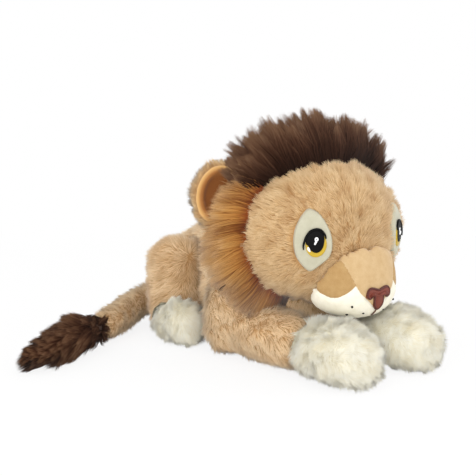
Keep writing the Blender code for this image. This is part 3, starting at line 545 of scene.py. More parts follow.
# %% [markdown]
# ## Pile
# Blender's own hair would be lost in an exported model, so each hair is real: a three-sided spike
# with its root in the backing. A few hundred thousand of them are laid by code, because no hand
# could: roots spread evenly over the cloth, hairs lean along the nap, and clumps draw together.

# %% Roots on a skin, and smooth wandering


def wander(places, period, seed):
    """A smooth number between about -1 and 1 that changes over a distance of one period."""
    dice = np.random.default_rng(seed)
    total = np.zeros(len(places))
    for _ in range(5):
        way = dice.normal(size=3)
        way *= 2 * math.pi / period / np.linalg.norm(way) * dice.uniform(0.6, 1.3)
        total += np.sin(places @ way + dice.uniform(0, 6.28))
    return total / 2.4


def roots_on(skin, per_square_mm, seed):
    """Evenly spread places on a skin, with the skin's normals there."""
    mesh = skin.data
    mesh.calc_loop_triangles()
    corners = np.empty(len(mesh.loop_triangles) * 3, int)
    mesh.loop_triangles.foreach_get("vertices", corners)
    corners = corners.reshape(-1, 3)
    places, normals = points_of(skin), normals_of(skin)
    a, b, c = (places[corners[:, i]] for i in range(3))
    areas = np.linalg.norm(np.cross(b - a, c - a), axis=1) / 2
    dice = np.random.default_rng(seed)
    count = int(areas.sum() * 1e6 * per_square_mm)
    ladder = np.cumsum(areas) / areas.sum()
    picked = np.searchsorted(ladder, (np.arange(count) + dice.random(count)) / count)
    picked = np.minimum(picked, len(areas) - 1)
    u, v = dice.random(count), dice.random(count)
    fold = u + v > 1
    u[fold], v[fold] = 1 - u[fold], 1 - v[fold]
    shares = np.stack([1 - u - v, u, v], 1)[:, :, None]
    spots = (places[corners[picked]] * shares).sum(1)
    return spots, unit((normals[corners[picked]] * shares).sum(1))


def under(places, form, depth=0.0):
    """True where a place is inside a form, deeper than this: a line out of it crosses the skin
    an odd number of times."""
    tree = forms[form]
    way = Vector((0.21, 0.34, 0.92)).normalized()
    found = np.zeros(len(places), bool)
    for i, place in enumerate(places):
        start, crossings = Vector(place), 0
        while crossings < 12:
            spot = tree.ray_cast(start, way)[0]
            if spot is None:
                break
            crossings += 1
            start = spot + way * 1e-6
        if crossings % 2:
            found[i] = tree.find_nearest(place)[3] > depth
    return found


# %% Clumps, and keeping hairs out of a form


def draw_together(paths, spacing, strength, seed, power=1.0):
    """Pulls hairs towards the nearest of some guide hairs, more so at the tips."""
    dice = np.random.default_rng(seed)
    spread = np.ptp(paths[:, 0], axis=0)
    guides = dice.choice(len(paths), max(8, int(len(paths) * spacing)), replace=False)
    tree = KDTree(len(guides))
    for k, guide in enumerate(guides):
        tree.insert(paths[guide, 0], k)
    tree.balance()
    nearest = guides[[tree.find(place)[1] for place in paths[:, 0]]]
    joints = paths.shape[1]
    for j in range(1, joints):
        pull = strength * (j / (joints - 1)) ** power
        paths[:, j] += (paths[nearest, j] - paths[:, j]) * pull


def push_out(paths, form, room):
    """Lifts the joints of hairs that run under a form to just above it."""
    tree = forms[form]
    for j in range(1, paths.shape[1]):
        for i, place in enumerate(paths[:, j]):
            spot, normal, _, _ = tree.find_nearest(place)
            deep = (Vector(place) - spot).dot(normal)
            if deep < room:
                paths[i, j] += np.array(normal) * (room - deep)


# %% One mesh of hairs
# A hair takes this share of its UV map's width, at the place of its tint.
TINT_WIDTH = 1 / 48
THIRD_TURN = 2.0944
HAIR_FLOOR = 0.0003


def hair_piece(name, paths, normals, thickness, tint, material):
    """A mesh of closed three-sided spikes that follow these paths, with the hair's own UV map."""
    count, joints, _ = paths.shape
    rings = joints - 1
    per_hair = 3 * rings + 1
    corners = np.empty((count, per_hair, 3))
    shading = np.empty((count, per_hair, 3))
    spin = np.random.default_rng(5).random(count) * 6.28
    for j in range(rings):
        way = unit(paths[:, j + 1] - paths[:, max(j - 1, 0)])
        side = unit(np.cross(way, normals + 0.01))
        other = np.cross(way, side)
        width = thickness * (1 - (j / rings) ** 1.6 * 0.8)
        for c in range(3):
            angle = spin + c * THIRD_TURN
            out = side * np.cos(angle)[:, None] + other * np.sin(angle)[:, None]
            corners[:, 3 * j + c] = paths[:, j] + out * np.reshape(width, (-1, 1))
            shading[:, 3 * j + c] = unit(normals * 0.85 + out * 0.3)
    corners[:, -1] = paths[:, -1]
    shading[:, -1] = unit(normals * 0.8 + unit(paths[:, -1] - paths[:, -2]) * 0.2)
    corners[:, :, 2] = np.maximum(corners[:, :, 2], HAIR_FLOOR)

    faces, spots = [[0, 2, 1]], [[(0, 0), (1, 0), (0.5, 0.0)]]
    for j in range(rings - 1):
        for c in range(3):
            d = (c + 1) % 3
            faces.append([3 * j + c, 3 * j + d, 3 * j + 3 + d, 3 * j + 3 + c])
            low, high = j / rings, (j + 1) / rings
            spots.append([(c / 3, low), ((c + 1) / 3, low), ((c + 1) / 3, high), (c / 3, high)])
    for c in range(3):
        faces.append([3 * rings - 3 + c, 3 * rings - 3 + (c + 1) % 3, 3 * rings])
        low = (rings - 1) / rings
        spots.append([(c / 3, low), ((c + 1) / 3, low), ((c + 0.5) / 3, 1)])
    loops = np.array([v for face in faces for v in face])
    starts = np.cumsum([0] + [len(face) for face in faces])[:-1]
    flat = np.array([s for spot in spots for s in spot])

    mesh = bpy.data.meshes.new(name)
    mesh.vertices.add(count * per_hair)
    mesh.vertices.foreach_set("co", corners.ravel())
    mesh.loops.add(count * len(loops))
    mesh.loops.foreach_set(
        "vertex_index", (loops[None] + np.arange(count)[:, None] * per_hair).ravel())
    mesh.polygons.add(count * len(faces))
    mesh.polygons.foreach_set(
        "loop_start", (starts[None] + np.arange(count)[:, None] * len(loops)).ravel())
    mesh.update(calc_edges=True)
    tint = np.clip(tint, 0, 1) * (1 - TINT_WIDTH)
    maps = np.empty((count, len(loops), 2))
    maps[:, :, 0] = tint[:, None] + flat[None, :, 0] * TINT_WIDTH
    maps[:, :, 1] = flat[None, :, 1] * 0.98 + 0.01
    mesh.uv_layers.new(name="OFBake").data.foreach_set("uv", maps.ravel())
    mesh.polygons.foreach_set("use_smooth", np.ones(count * len(faces), bool))
    mesh.normals_split_custom_set_from_vertices(shading.reshape(-1, 3))
    mesh.materials.append(material)
    piece = bpy.data.objects.new(name, mesh)
    scene.collection.objects.link(piece)
    # Real fibres let light through. These can't, so they throw no shadow on one another.
    piece.visible_shadow = False
    triangles = count * (len(loops) - 2 * len(faces))
    print(name, count, "hairs,", triangles, "triangles")
    return piece


# %% [markdown]
# Short pile is 8 to 10 mm long, and brushing leaves it in soft waves: it leans well over along
# the nap, and neighbouring clumps lean a little differently.

# %% Short pile


def pile(name, skin, material, nap, density=0.9, length=0.009, thickness=0.00042, lean=63,
         waves=0.011, wild=0.4, clump=0.12, pull=0.35, seed=1, keep=None, tint=None):
    """Short pile on a skin: nap gives the way it lies, keep says where it grows."""
    spots, normals = roots_on(skin, density, seed)
    if keep is not None:
        kept = keep(spots)
        spots, normals = spots[kept], normals[kept]
    dice = np.random.default_rng(seed + 1)
    count = len(spots)
    flow = nap(spots)
    flow -= normals * (flow * normals).sum(1, keepdims=True)
    flow = unit(flow)
    across = np.cross(normals, flow)
    veer = wander(spots, waves, seed + 2) * wild + dice.normal(0, 0.22, count)
    flow = flow * np.cos(veer)[:, None] + across * np.sin(veer)[:, None]
    angle = np.radians(lean + wander(spots, waves * 1.3, seed + 3) * 16
                       + dice.normal(0, 7, count))
    way = normals * np.cos(angle)[:, None] + flow * np.sin(angle)[:, None]
    reach = length * (1 + wander(spots, waves * 2, seed + 4) * 0.14
                      + dice.normal(0, 0.10, count))
    paths = np.stack([spots - normals * 0.0006, spots + way * reach[:, None]], 1)
    draw_together(paths, clump, pull, seed + 5)
    shade = 0.5 + wander(spots, waves * 1.7, seed + 6) * 0.22 + dice.normal(0, 0.16, count)
    if tint is not None:
        shade = shade + tint(spots)
    return hair_piece(name, paths, normals, thickness * (1 + dice.normal(0, 0.12, count)),
                      shade, material)

# %% [markdown]
# On the body the nap runs from nose to tail and down the flanks; on the legs it runs to the paws.

# %% Pile on body and limbs
to_rear = lambda spots: np.tile([0.0, 1.0, -0.45], (len(spots), 1))
to_paws = lambda spots: np.tile([0.0, -1.0, -0.5], (len(spots), 1))


def clear_of(*buriers, depth=0.003):
    """Grows hair only where the skin isn't buried in these forms, or pressed on the floor."""
    def keep(spots):
        kept = spots[:, 2] > 0.0012
        for form in buriers:
            kept[kept] = ~under(spots[kept], form, depth)
        return kept
    return keep


torso_piles = []
grows = clear_of("head", "foreleg_right", "foreleg_left", "rear_thigh_right", "rear_thigh_left")
for word, side in SIDES:
    torso_piles.append(pile(
        f"torso_pile_{word}", torso, pale_pile, to_rear, density=0.8, seed=10 + side,
        keep=lambda spots: (spots[:, 0] * side > 0) & grows(spots)))
piles = {}
for word, side in SIDES:
    piles[f"leg_{word}"] = pile(
        f"foreleg_pile_{word}", limbs[f"leg_{word}"], pale_pile, to_paws, seed=20 + side,
        density=0.8, keep=clear_of("torso", "head", f"forepaw_{word}"))
    piles[f"haunch_{word}"] = pile(
        f"thigh_pile_{word}", limbs[f"haunch_{word}"], pale_pile, to_rear, seed=30 + side,
        density=0.8, keep=clear_of("torso", f"rear_foot_{word}"), tint=lambda spots: -0.22)
    # The paw pile is painted darker along the toe creases: painted shade.
    piles[f"paw_{word}"] = pile(
        f"paw_pile_{word}", limbs[f"paw_{word}"], cream_pile, to_paws, seed=40 + side,
        density=1.85, length=0.0100, lean=54, wild=1.0, waves=0.010, clump=0.16, pull=0.25,
        keep=clear_of(f"foreleg_{word}"),
        tint=lambda spots: -0.25 * near_lines(spots, toe_creases[word], 0.005))
    piles[f"foot_{word}"] = pile(
        f"foot_pile_{word}", limbs[f"foot_{word}"], cream_pile, to_paws, seed=50 + side,
        density=1.75, length=0.0092, lean=56, wild=1.0, waves=0.010, clump=0.16, pull=0.25,
        keep=clear_of(f"rear_thigh_{word}"))

# %% Pile on the tail
to_tuft = lambda spots: np.tile([-1.0, -0.35, -0.1], (len(spots), 1))
tube_pile = pile("tail_pile", tube, pale_pile, to_tuft, seed=60, density=0.8, length=0.0085,
                 keep=clear_of("torso", "tuft_core"))

# %% [markdown]
# ## Muzzle
# The muzzle is five panels of smooth velour over one stuffing: a tan bridge, a tan cheek each
# side, and a cream lip each side below. Cutting one smooth surface along the seam lines keeps the
# panels flush, as sewn cloth is, and a groove along each cut shows the seam.

# %% The muzzle's surface
MUZZLE_BACK = -0.100

muzzle_skin = copy_of("muzzle_surface", ["muzzle_filling"])
finish_with(muzzle_skin, "REMESH", mode="VOXEL", voxel_size=0.0017)
finish_with(muzzle_skin, "SMOOTH", factor=0.5, iterations=10)
finish_with(muzzle_skin, "DISPLACE", strength=0.0034, mid_level=0)

# Above the lip, the skin is lifted and widened at the cheeks, as the real panels run up there.
LIFT_FROM, LIFT_OVER = 0.078, 0.028
LIFT_FRONT, LIFT_SIDE, WIDEN = 0.005, 0.009, 0.16
# The panels stand this much over the head's skin, and less within a short way of their edge.
PANEL_RISE, PANEL_FADE, PANEL_DEEPEST = 0.0042, 0.0025, 0.014
# They run up over the face to this line: its height for each angle round the muzzle.
BROW_LINE = ((0, 0.1152), (5, 0.1150), (33, 0.1124), (47, 0.1100), (56, 0.1066), (70, 0.1000),
             (79, 0.0930), (86, 0.0820), (95, 0.0700))
places = points_of(muzzle_skin)
turn = np.degrees(np.arctan2(np.abs(places[:, 0]), MUZZLE_BACK - places[:, 1]))
lift = np.clip((places[:, 2] - LIFT_FROM) / LIFT_OVER, 0, 1)
places[:, 2] += lift * (LIFT_FRONT + LIFT_SIDE * np.clip(turn / 50, 0, 1))
places[:, 0] *= 1 + WIDEN * lift * np.clip((turn - 25) / 40, 0, 1)
inside = np.clip((np.interp(turn, *zip(*BROW_LINE)) - places[:, 2]) / PANEL_FADE, 0, 1)
for i, (place, own) in enumerate(zip(places, normals_of(muzzle_skin))):
    spot, normal, _, _ = forms["head"].find_nearest(place)
    deep = (Vector(place) - spot).dot(normal)
    if inside[i] and -PANEL_DEEPEST < deep < PANEL_RISE and Vector(own).dot(normal) > 0.2:
        places[i] += np.array(normal) * (PANEL_RISE - deep) * inside[i]
move_points(muzzle_skin, places)
finish_with(muzzle_skin, "SMOOTH", factor=0.5, iterations=3)
finish_with(muzzle_skin, "TRIANGULATE")
keep_form("muzzle", muzzle_skin)
low, high = points_of(muzzle_skin).min(0), points_of(muzzle_skin).max(0)
print("muzzle", len(muzzle_skin.data.polygons), "faces,", np.round(low * 1000, 1).tolist(),
      np.round(high * 1000, 1).tolist())

# %% Seam lines, as heights over these lines
# The lip seam is a height for each angle round the muzzle, from the front to the side.
LIP_SEAM = ((0, 0.0605), (4, 0.0622), (15, 0.0707), (22.8, 0.0765), (28.2, 0.0837),
            (33, 0.0800), (37.2, 0.0772), (46.2, 0.0730), (54, 0.0724), (66, 0.0759),
            (81, 0.0838), (100, 0.0860))
# The bridge seam is a half width for each height.
BRIDGE_SEAM = ((0.060, 0.0230), (0.0840, 0.0236), (0.0935, 0.0275), (0.1016, 0.0303),
               (0.110, 0.0330), (0.118, 0.0345))


def over_lip(place):
    angle = math.degrees(math.atan2(abs(place[0]), MUZZLE_BACK - place[1]))
    return place[2] - np.interp(angle, *zip(*LIP_SEAM))


def beside_bridge(place):
    return abs(place[0]) - np.interp(place[2], *zip(*BRIDGE_SEAM))


def cut_along(bm, level):
    """Splits the edges that cross a seam line, and joins the cuts across each face."""
    heights = {vert: level(vert.co) for vert in bm.verts}
    fresh = []
    for edge in list(bm.edges):
        a, b = edge.verts
        if heights[a] * heights[b] < 0:
            share = heights[a] / (heights[a] - heights[b])
            fresh.append(bmesh.utils.edge_split(edge, a, share)[1])
    bmesh.ops.connect_verts(bm, verts=fresh)
    bmesh.ops.triangulate(bm, faces=[f for f in bm.faces if len(f.verts) > 3])


bm = bmesh.new()
bm.from_mesh(muzzle_skin.data)
for level in (over_lip, beside_bridge, lambda place: place[0]):
    cut_along(bm, level)
bm.normal_update()
SEAM_DEPTH, SEAM_WIDTH = 0.0011, 0.0013
dips = []
for vert in bm.verts:
    lip = over_lip(vert.co)
    gaps = [abs(lip) * 0.8]
    gaps.append(abs(beside_bridge(vert.co)) if lip > 0 else abs(vert.co.x))
    dips.append(SEAM_DEPTH * math.exp(-((min(gaps) / SEAM_WIDTH) ** 2)))
normals = [vert.normal.copy() for vert in bm.verts]
for vert, normal, dip in zip(bm.verts, normals, dips):
    vert.co -= normal * dip

# %% Five panels
PANEL_THICKNESS = 0.0014
VELOURS = {"bridge": tan_velour, "side": side_velour_painted_shade, "lower": lip_velour_painted_light}


def region(face):
    centre = face.calc_center_median()
    word = "right" if centre.x < 0 else "left"
    if over_lip(centre) < 0:
        return f"lower_{word}"
    return "bridge" if beside_bridge(centre) < 0 else f"side_{word}"


regions = {face.index: region(face) for face in bm.faces}
panels = {}
for part in sorted(set(regions.values())):
    cut = bm.copy()
    cut.faces.ensure_lookup_table()
    others = [face for face, own in zip(cut.faces, regions.values()) if own != part]
    bmesh.ops.delete(cut, geom=others, context="FACES")
    mesh = bpy.data.meshes.new(f"muzzle_panel_{part}")
    cut.to_mesh(mesh)
    cut.free()
    panel = bpy.data.objects.new(mesh.name, mesh)
    scene.collection.objects.link(panel)
    mesh.materials.append(VELOURS[part.split("_")[0]])
    finish_with(panel, "SOLIDIFY", thickness=PANEL_THICKNESS, offset=-1)
    pick(panel)
    bpy.ops.object.shade_smooth_by_angle(angle=math.radians(50))
    panels[part] = panel
    print(panel.name, len(mesh.polygons), "faces")
bm.free()
muzzle_stuffing = copy_of("muzzle_stuffing", ["muzzle_filling"])
muzzle_stuffing.data.materials.append(cream_backing)

# %% [markdown]
# ## Eyes and nose
# Each eye is a pointed velour patch with satin-stitched layers on it: a gold iris, a black pupil
# with a heavy upper lid line, and small white lights. A layer starts as a disc of rings, takes
# its outline in its own flat frame, and is then dropped onto the form below, a little proud.

# %% Outlines


def rounded(outline, count):
    """A smooth closed line through these points, as this many points."""
    points = np.array(outline, float)
    size = len(points)
    line = []
    for k in range(count):
        t = k / count * size
        i, f = int(t), t % 1
        a, b, c, d = (points[(i + j) % size] for j in (-1, 0, 1, 2))
        line.append(0.5 * (2 * b + (c - a) * f + (2 * a - 5 * b + 4 * c - d) * f * f
                           + (3 * b - a - 3 * c + d) * f ** 3))
    return np.array(line)


def through(points, steps=4):
    """A smooth open line through these points."""
    ends = np.array(points[:2]), np.array(points[-2:])
    padded = [2 * ends[0][0] - ends[0][1], *points, 2 * ends[1][1] - ends[1][0]]
    return rounded(padded, steps * len(padded))[steps:steps * len(points) + 1]


DROP_FROM = 0.03
CUSHION = 0.0012


def outward(place):
    """The way straight out of the skin, in the frame of an eye or of the nose."""
    return (place.to_3x3() @ Vector((0, 0, 1))).normalized()


def dropped(place, x, y, below):
    """Where a place of a flat frame lands on the form below."""
    hit = forms[below].ray_cast(place @ Vector((x, y, DROP_FROM)), -outward(place))[0]
    return hit or place @ Vector((x, y, 0))


def layer(name, outline, place, below, rise, material, edge=0.10, rings=9, thickness=CUSHION):
    """A low cushion of this outline on a form: rise is its height, edge its rounded rim."""
    bpy.ops.object.select_all(action="DESELECT")
    bpy.ops.mesh.primitive_circle_add(vertices=len(outline), radius=1, fill_type="NGON")
    piece = bpy.context.object
    piece.name = piece.data.name = name
    shrink = 1 / (rings + 0.5)
    in_edit_mode(piece, *[lambda: bpy.ops.mesh.inset(thickness=shrink * 0.999)] * rings,
                 lambda: bpy.ops.mesh.quads_convert_to_tris())
    flat = points_of(piece)
    reach = np.hypot(flat[:, 0], flat[:, 1])
    turn = np.arctan2(flat[:, 1], flat[:, 0]) / (2 * math.pi) * len(outline)
    index = np.round(turn).astype(int) % len(outline)
    reach = reach / reach.max()
    middle = outline.mean(0)
    spots = middle + (outline[index] - middle) * reach[:, None]
    axis = outward(place)
    places = np.empty_like(flat)
    for i, (x, y) in enumerate(spots):
        round_off = 1 - max(0.0, (reach[i] - 1 + edge) / edge) ** 2
        high = rise * round_off - 0.0008 * (1 - round_off)
        places[i] = dropped(place, x, y, below) + axis * high
    move_points(piece, places)
    in_edit_mode(piece, lambda: bpy.ops.mesh.normals_make_consistent(inside=False))
    if piece.data.polygons[0].normal.dot(axis) < 0:
        in_edit_mode(piece, lambda: bpy.ops.mesh.flip_normals())
    finish_with(piece, "SOLIDIFY", thickness=thickness, offset=-1)
    bpy.ops.object.shade_smooth()
    piece.data.materials.append(material)
    return piece


# %% Eye frames
# Places on the eyes are in millimetres from the iris's middle, x towards the nose and y up.
PATCH_LINE = ((-6.9, 31.0), (-1.0, 29.0), (4.2, 24.8), (9.8, 16.0), (13.2, 8.0), (14.4, 0.5),
              (14.0, -7.0), (11.2, -13.5), (3.0, -20.5), (-5.4, -25.6), (-13.8, -18.0),
              (-18.8, -9.3), (-20.6, 0.5), (-20.2, 8.5), (-18.4, 15.6), (-13.6, 24.4))
PUPIL_LINE = ((-10.6, 1.0), (-9.9, 6.3), (-6.9, 10.8), (-4.0, 12.6), (-0.4, 13.4), (3.1, 12.6),
              (6.0, 9.9), (7.2, 6.4), (7.2, 3.0), (6.7, -0.6), (5.6, -3.9), (3.0, -7.1),
              (-0.6, -8.3), (-4.2, -7.1), (-6.6, -4.6), (-8.2, -1.6))
LID_LINE = ((-11.8, -4.3), (-12.0, -1.5), (-11.5, 1.4), (-9.8, 6.4), (-6.8, 10.7), (-4.0, 12.5),
            (-0.4, 13.3), (3.1, 12.5), (6.0, 9.9), (7.5, 7.0), (7.8, 4.8))
eye_frames, eye_outlines = {}, {}


def on_eye(line, side):
    """Millimetres on an eye as metres in its frame: the left eye is the right one's mirror."""
    return [(x * -side / 1000, y / 1000) for x, y in line]


for word, side in SIDES:
    eye_frames[word] = (Matrix.Translation((side * 0.0455, -0.1156, 0.1205))
                        @ Matrix.Rotation(side * math.radians(38), 4, "Z")
                        @ Matrix.Rotation(math.pi / 2, 4, "X"))
    eye_outlines[word] = rounded(on_eye(PATCH_LINE, side)[::side], 80)


def oval(middle, half_width, half_height, count=48):
    turns = np.arange(count) * 2 * math.pi / count
    return np.stack([middle[0] + half_width * np.cos(turns),
                     middle[1] + half_height * np.sin(turns)], 1)


# %% Eyes
# Heights over the head's skin. The patch is level with the pile, and each layer lies on the last.
RISE = {"patch": 0.0046, "iris": 0.0054, "lid": 0.0058, "pupil": 0.0061, "low_light": 0.0063,
        "light_tail": 0.0066, "light": 0.0067, "light_middle": 0.0069}
eye_pieces = {}
for word, side in SIDES:
    place = eye_frames[word]
    made = {}
    made["eye_patch"] = layer(f"patch_{word}", eye_outlines[word], place, "head", RISE["patch"],
                              patch_velour_painted_shade, edge=0.06, rings=14, thickness=0.002)
    made["iris"] = layer(f"gold_iris_{word}", oval((side * 0.0007, -0.0001), 0.0103, 0.0123),
                         place, "head", RISE["iris"], gold_thread)
    pupil_line = rounded(on_eye(PUPIL_LINE, side)[::side], 60)
    made["pupil"] = layer(f"black_pupil_{word}", pupil_line, place, "head", RISE["pupil"],
                          black_thread)
    made["eye_glint"] = layer(f"light_{word}", oval((-0.0005, 0.0047), 0.0023, 0.0025, 20), place,
                              "head", RISE["light"], white_thread, edge=0.3, rings=4)
    eye_pieces[word] = made

# %% Lid lines and stitches


def stitch(name, points, widths, material, below, place, rise):
    """A padded line of satin stitch through these points: a tube that tapers with the widths."""
    points = [dropped(place, x, y, below) + outward(place) * rise for x, y in points]
    curve = bpy.data.curves.new(name, "CURVE")
    curve.dimensions = "3D"
    curve.bevel_depth = 1.0
    curve.bevel_resolution = 3
    curve.use_fill_caps = True
    line = curve.splines.new("POLY")
    line.points.add(len(points) - 1)
    for point, spot, width in zip(line.points, points, widths):
        point.co = (*spot, 1)
        point.radius = width
    piece = bpy.data.objects.new(name, curve)
    scene.collection.objects.link(piece)
    pick(piece)
    bpy.ops.object.convert(target="MESH")
    piece = bpy.context.object
    piece.data.materials.clear()
    piece.data.materials.append(material)
    bpy.ops.object.shade_smooth()
    return piece


def taper(count, thick, ends=0.35):
    return [thick * (ends + (1 - ends) * math.sin(math.pi * (k + 0.5) / count) ** 0.8)
            for k in range(count)]


lid_lines = {}
for word, side in SIDES:
    place = eye_frames[word]
    way = through(on_eye(LID_LINE, side))
    lid = stitch(f"lid_line_{word}", way, taper(len(way), 0.0012), black_thread, below="head",
                 place=place, rise=RISE["lid"])
    light = stitch(f"light_tail_{word}", [(-0.0008, 0.0030), (-0.0016, 0.0014), (-0.0022, 0.0002)],
                   [0.0010, 0.0009, 0.0007], white_thread, below="head", place=place,
                   rise=RISE["light_tail"])
    dark = stitch(f"light_middle_{word}", [(-0.0008, 0.0047), (-0.0004, 0.0047)],
                  [0.0006, 0.0006], black_thread, below="head", place=place,
                  rise=RISE["light_middle"])
    low_light = stitch(f"low_light_{word}",
                       on_eye([(-8.0, -1.9), (-7.6, -3.2), (-7.0, -4.5), (-6.0, -6.0)], side),
                       [0.0006, 0.0011, 0.0011, 0.0005], white_thread, below="head",
                       place=place, rise=RISE["low_light"])
    lid_lines[word] = (lid, light, dark, low_light)

# %% [markdown]
# The nose is a T of padded satin stitch with curled wings. Its stem runs down to the lip seam,
# where a short stitch marks the mouth, and three knots each side stand for whisker roots.

# %% Nose, mouth and whisker dots
NOSE_TOP = 0.0795
nose_frame = Matrix.Translation((0, -0.149, NOSE_TOP)) @ Matrix.Rotation(math.pi / 2, 4, "X")
half = [(0.0, -0.0014), (0.0040, -0.0004), (0.0088, 0.0008), (0.0128, 0.0000),
        (0.0148, -0.0036), (0.0142, -0.0072), (0.0112, -0.0086), (0.0088, -0.0068),
        (0.0072, -0.0058), (0.0056, -0.0078), (0.0056, -0.0126), (0.0040, -0.0168),
        (0.0, -0.0198)]
nose_line = half + [(-x, y) for x, y in half[-2:0:-1]]


def flat_layer(name, outline, place, below, rise, material, insets=(0.0004, 0.0006, 0.0008)):
    """A cushion of any outline: a filled line, inset for its rounded rim, then dropped on."""
    bpy.ops.object.select_all(action="DESELECT")
    bpy.ops.mesh.primitive_circle_add(vertices=len(outline), radius=1, fill_type="NGON")
    piece = bpy.context.object
    piece.name = piece.data.name = name
    move_points(piece, np.column_stack([outline, np.zeros(len(outline))]))
    if piece.data.polygons[0].normal.z < 0:
        in_edit_mode(piece, lambda: bpy.ops.mesh.flip_normals())
    rows = [lambda depth=depth: bpy.ops.mesh.inset(thickness=depth) for depth in insets]
    in_edit_mode(piece, *rows, lambda: bpy.ops.mesh.quads_convert_to_tris(),
                 lambda: bpy.ops.mesh.subdivide(number_cuts=1))
    flat = points_of(piece)
    line = np.array(outline)
    axis = outward(place)
    for i, spot in enumerate(flat):
        rim = np.hypot(*(line - spot[:2]).T).min()
        high = rise * min(1, (rim / sum(insets)) ** 0.5) - 0.0006 * (rim < 1e-5)
        flat[i] = dropped(place, spot[0], spot[1], below) + axis * high
    move_points(piece, flat)
    finish_with(piece, "SOLIDIFY", thickness=CUSHION, offset=-1)
    bpy.ops.object.shade_smooth()
    piece.data.materials.append(material)
    return piece


nose = flat_layer("nose_stitching", rounded(nose_line, 96)[::-1], nose_frame, "muzzle", 0.0019,
                  rust_thread)
rim_points = [tuple(p) for p in rounded(nose_line, 72)] + [tuple(rounded(nose_line, 72)[0])]
nose_rim = stitch("nose_rim", [(x * 0.93, -0.0006 + (y + 0.0006) * 0.95) for x, y in rim_points],
                  [0.0011] * len(rim_points), dark_rust_thread, below="muzzle",
                  place=nose_frame, rise=0.0009)
mouth = stitch("mouth_stitch",
               [(0.0, -0.0190), (0.0, -0.0215), (0.0, -0.0240), (0.0001, -0.0262)],
               [0.0006, 0.0006, 0.0006, 0.0004], dark_rust_thread, below="muzzle",
               place=nose_frame, rise=0.0002)
dots = {}
for word, side in SIDES:
    knots = []
    for k, (x, z) in enumerate(((0.0262, 0.0650), (0.0245, 0.0565), (0.0128, 0.0575))):
        knot = stitch(f"whisker_dot_{word}_{k}",
                      [(side * (x - 0.0008), z - NOSE_TOP), (side * x, z - NOSE_TOP),
                       (side * (x + 0.0008), z - NOSE_TOP)],
                      [0.0006, 0.0012 - 0.0002 * k, 0.0006], black_thread, below="muzzle",
                      place=nose_frame, rise=0.0002)
        knots.append(knot)
    pick(*knots)
    bpy.ops.object.join()
    dots[word] = bpy.context.object
    dots[word].name = dots[word].data.name = f"whisker_dots_{word}"

# %% [markdown]
# ## Ears
# An ear is a cup: short pile behind, and velour in front that rolls over the rim. One smooth
# surface is made from the imported back and lining, and the faces that lie in the cup become the
# velour piece. The velour is painted darker deep in the cup, as painted shade.

# %% Ear velour, with painted shade in the cup
ear_velour_painted_shade, tree = new_material("tan_ear_velour")
deep = add(tree, "ShaderNodeAttribute", {"attribute_name": "depth"})
places_of = add(tree, "ShaderNodeTexCoord")
nap = add(tree, "ShaderNodeTexNoise", {"Scale": 900.0, "Detail": 3.0},
          {"Vector": places_of.outputs["Object"]})
relief = add(tree, "ShaderNodeBump", {"Strength": 0.2, "Distance": 0.0005},
             {"Height": nap.outputs["Fac"]})
# Painted shade: the velour darkens deeper in the cup, read from the depth attribute.
colours = colour_steps(
    tree, [(0.0, "#D6AC70"), (0.30, "#C2945A"), (0.6, "#9A6636"), (1.0, "#7C4A22")],
    deep.outputs["Fac"])
shader = add(tree, "ShaderNodeBsdfPrincipled",
             {"Roughness": 0.88, "Sheen Weight": 0.3, "Sheen Roughness": 0.4,
              "Specular IOR Level": 0.2},
             {"Base Color": colours, "Normal": relief.outputs[0]})
add(tree, "ShaderNodeOutputMaterial", links={"Surface": shader.outputs[0]})

# %% Ear cups
CUP_MIDDLE = np.array([0.0, -0.010, 0.0])
CUP_HALF = np.array([0.0202, 0.0112, 0.0272])
ear_frames, ear_backs, ear_linings = {}, {}, {}


def cup_depth(places, word):
    """Below 1 in the velour cup of an ear, and above 1 outside it."""
    own = np.array(ear_frames[word].inverted())
    local = places @ own[:3, :3].T + own[:3, 3]
    return np.linalg.norm((local - CUP_MIDDLE) / CUP_HALF, axis=1)


for word, side in SIDES:
    ear_frames[word] = (Matrix.Translation((side * 0.092, -0.034, 0.159))
                        @ Matrix.Rotation(-side * math.radians(16), 4, "Y")
                        @ Matrix.Rotation(side * math.radians(30), 4, "Z")
                        @ Matrix.Scale(side, 4, (1, 0, 0)))
    cup = copy_of(f"ear_{word}", [f"ear_{word}_back", f"ear_{word}_lining"])
    finish_with(cup, "REMESH", mode="VOXEL", voxel_size=0.0016)
    finish_with(cup, "SMOOTH", factor=0.5, iterations=8)
    keep_form(f"ear_{word}", cup)
    pick(cup)
    bpy.ops.object.duplicate()
    lining = bpy.context.object
    lining.name = lining.data.name = f"ear_{word}_velour"
    bm = bmesh.new()
    bm.from_mesh(lining.data)
    bmesh.ops.triangulate(bm, faces=bm.faces)
    level = lambda place: cup_depth(np.array([place]), word)[0] - 1
    cut_along(bm, level)
    out = [face for face in bm.faces if level(face.calc_center_median()) > 0]
    bmesh.ops.delete(bm, geom=out, context="FACES")
    bm.to_mesh(lining.data)
    bm.free()
    # Painted shade: how far into the cup a point lies, for darkening the velour there.
    depth = lining.data.attributes.new("depth", "FLOAT", "POINT")
    deeper = np.clip((1 - cup_depth(points_of(lining), word)) / 0.32, 0, 1)
    depth.data.foreach_set("value", deeper)
    finish_with(lining, "DISPLACE", strength=0.0007, mid_level=0)
    finish_with(lining, "SOLIDIFY", thickness=0.0014, offset=-1)
    bpy.ops.object.shade_smooth()
    lining.data.materials.append(ear_velour_painted_shade)
    pick(cup)
    bpy.ops.object.shade_smooth()
    finish_with(cup, "DISPLACE", strength=-0.0012, mid_level=0)
    cup.data.materials.append(tan_backing)
    ear_backs[word], ear_linings[word] = cup, lining
    print(f"ear {word}:", len(cup.data.polygons), "and", len(lining.data.polygons), "faces")

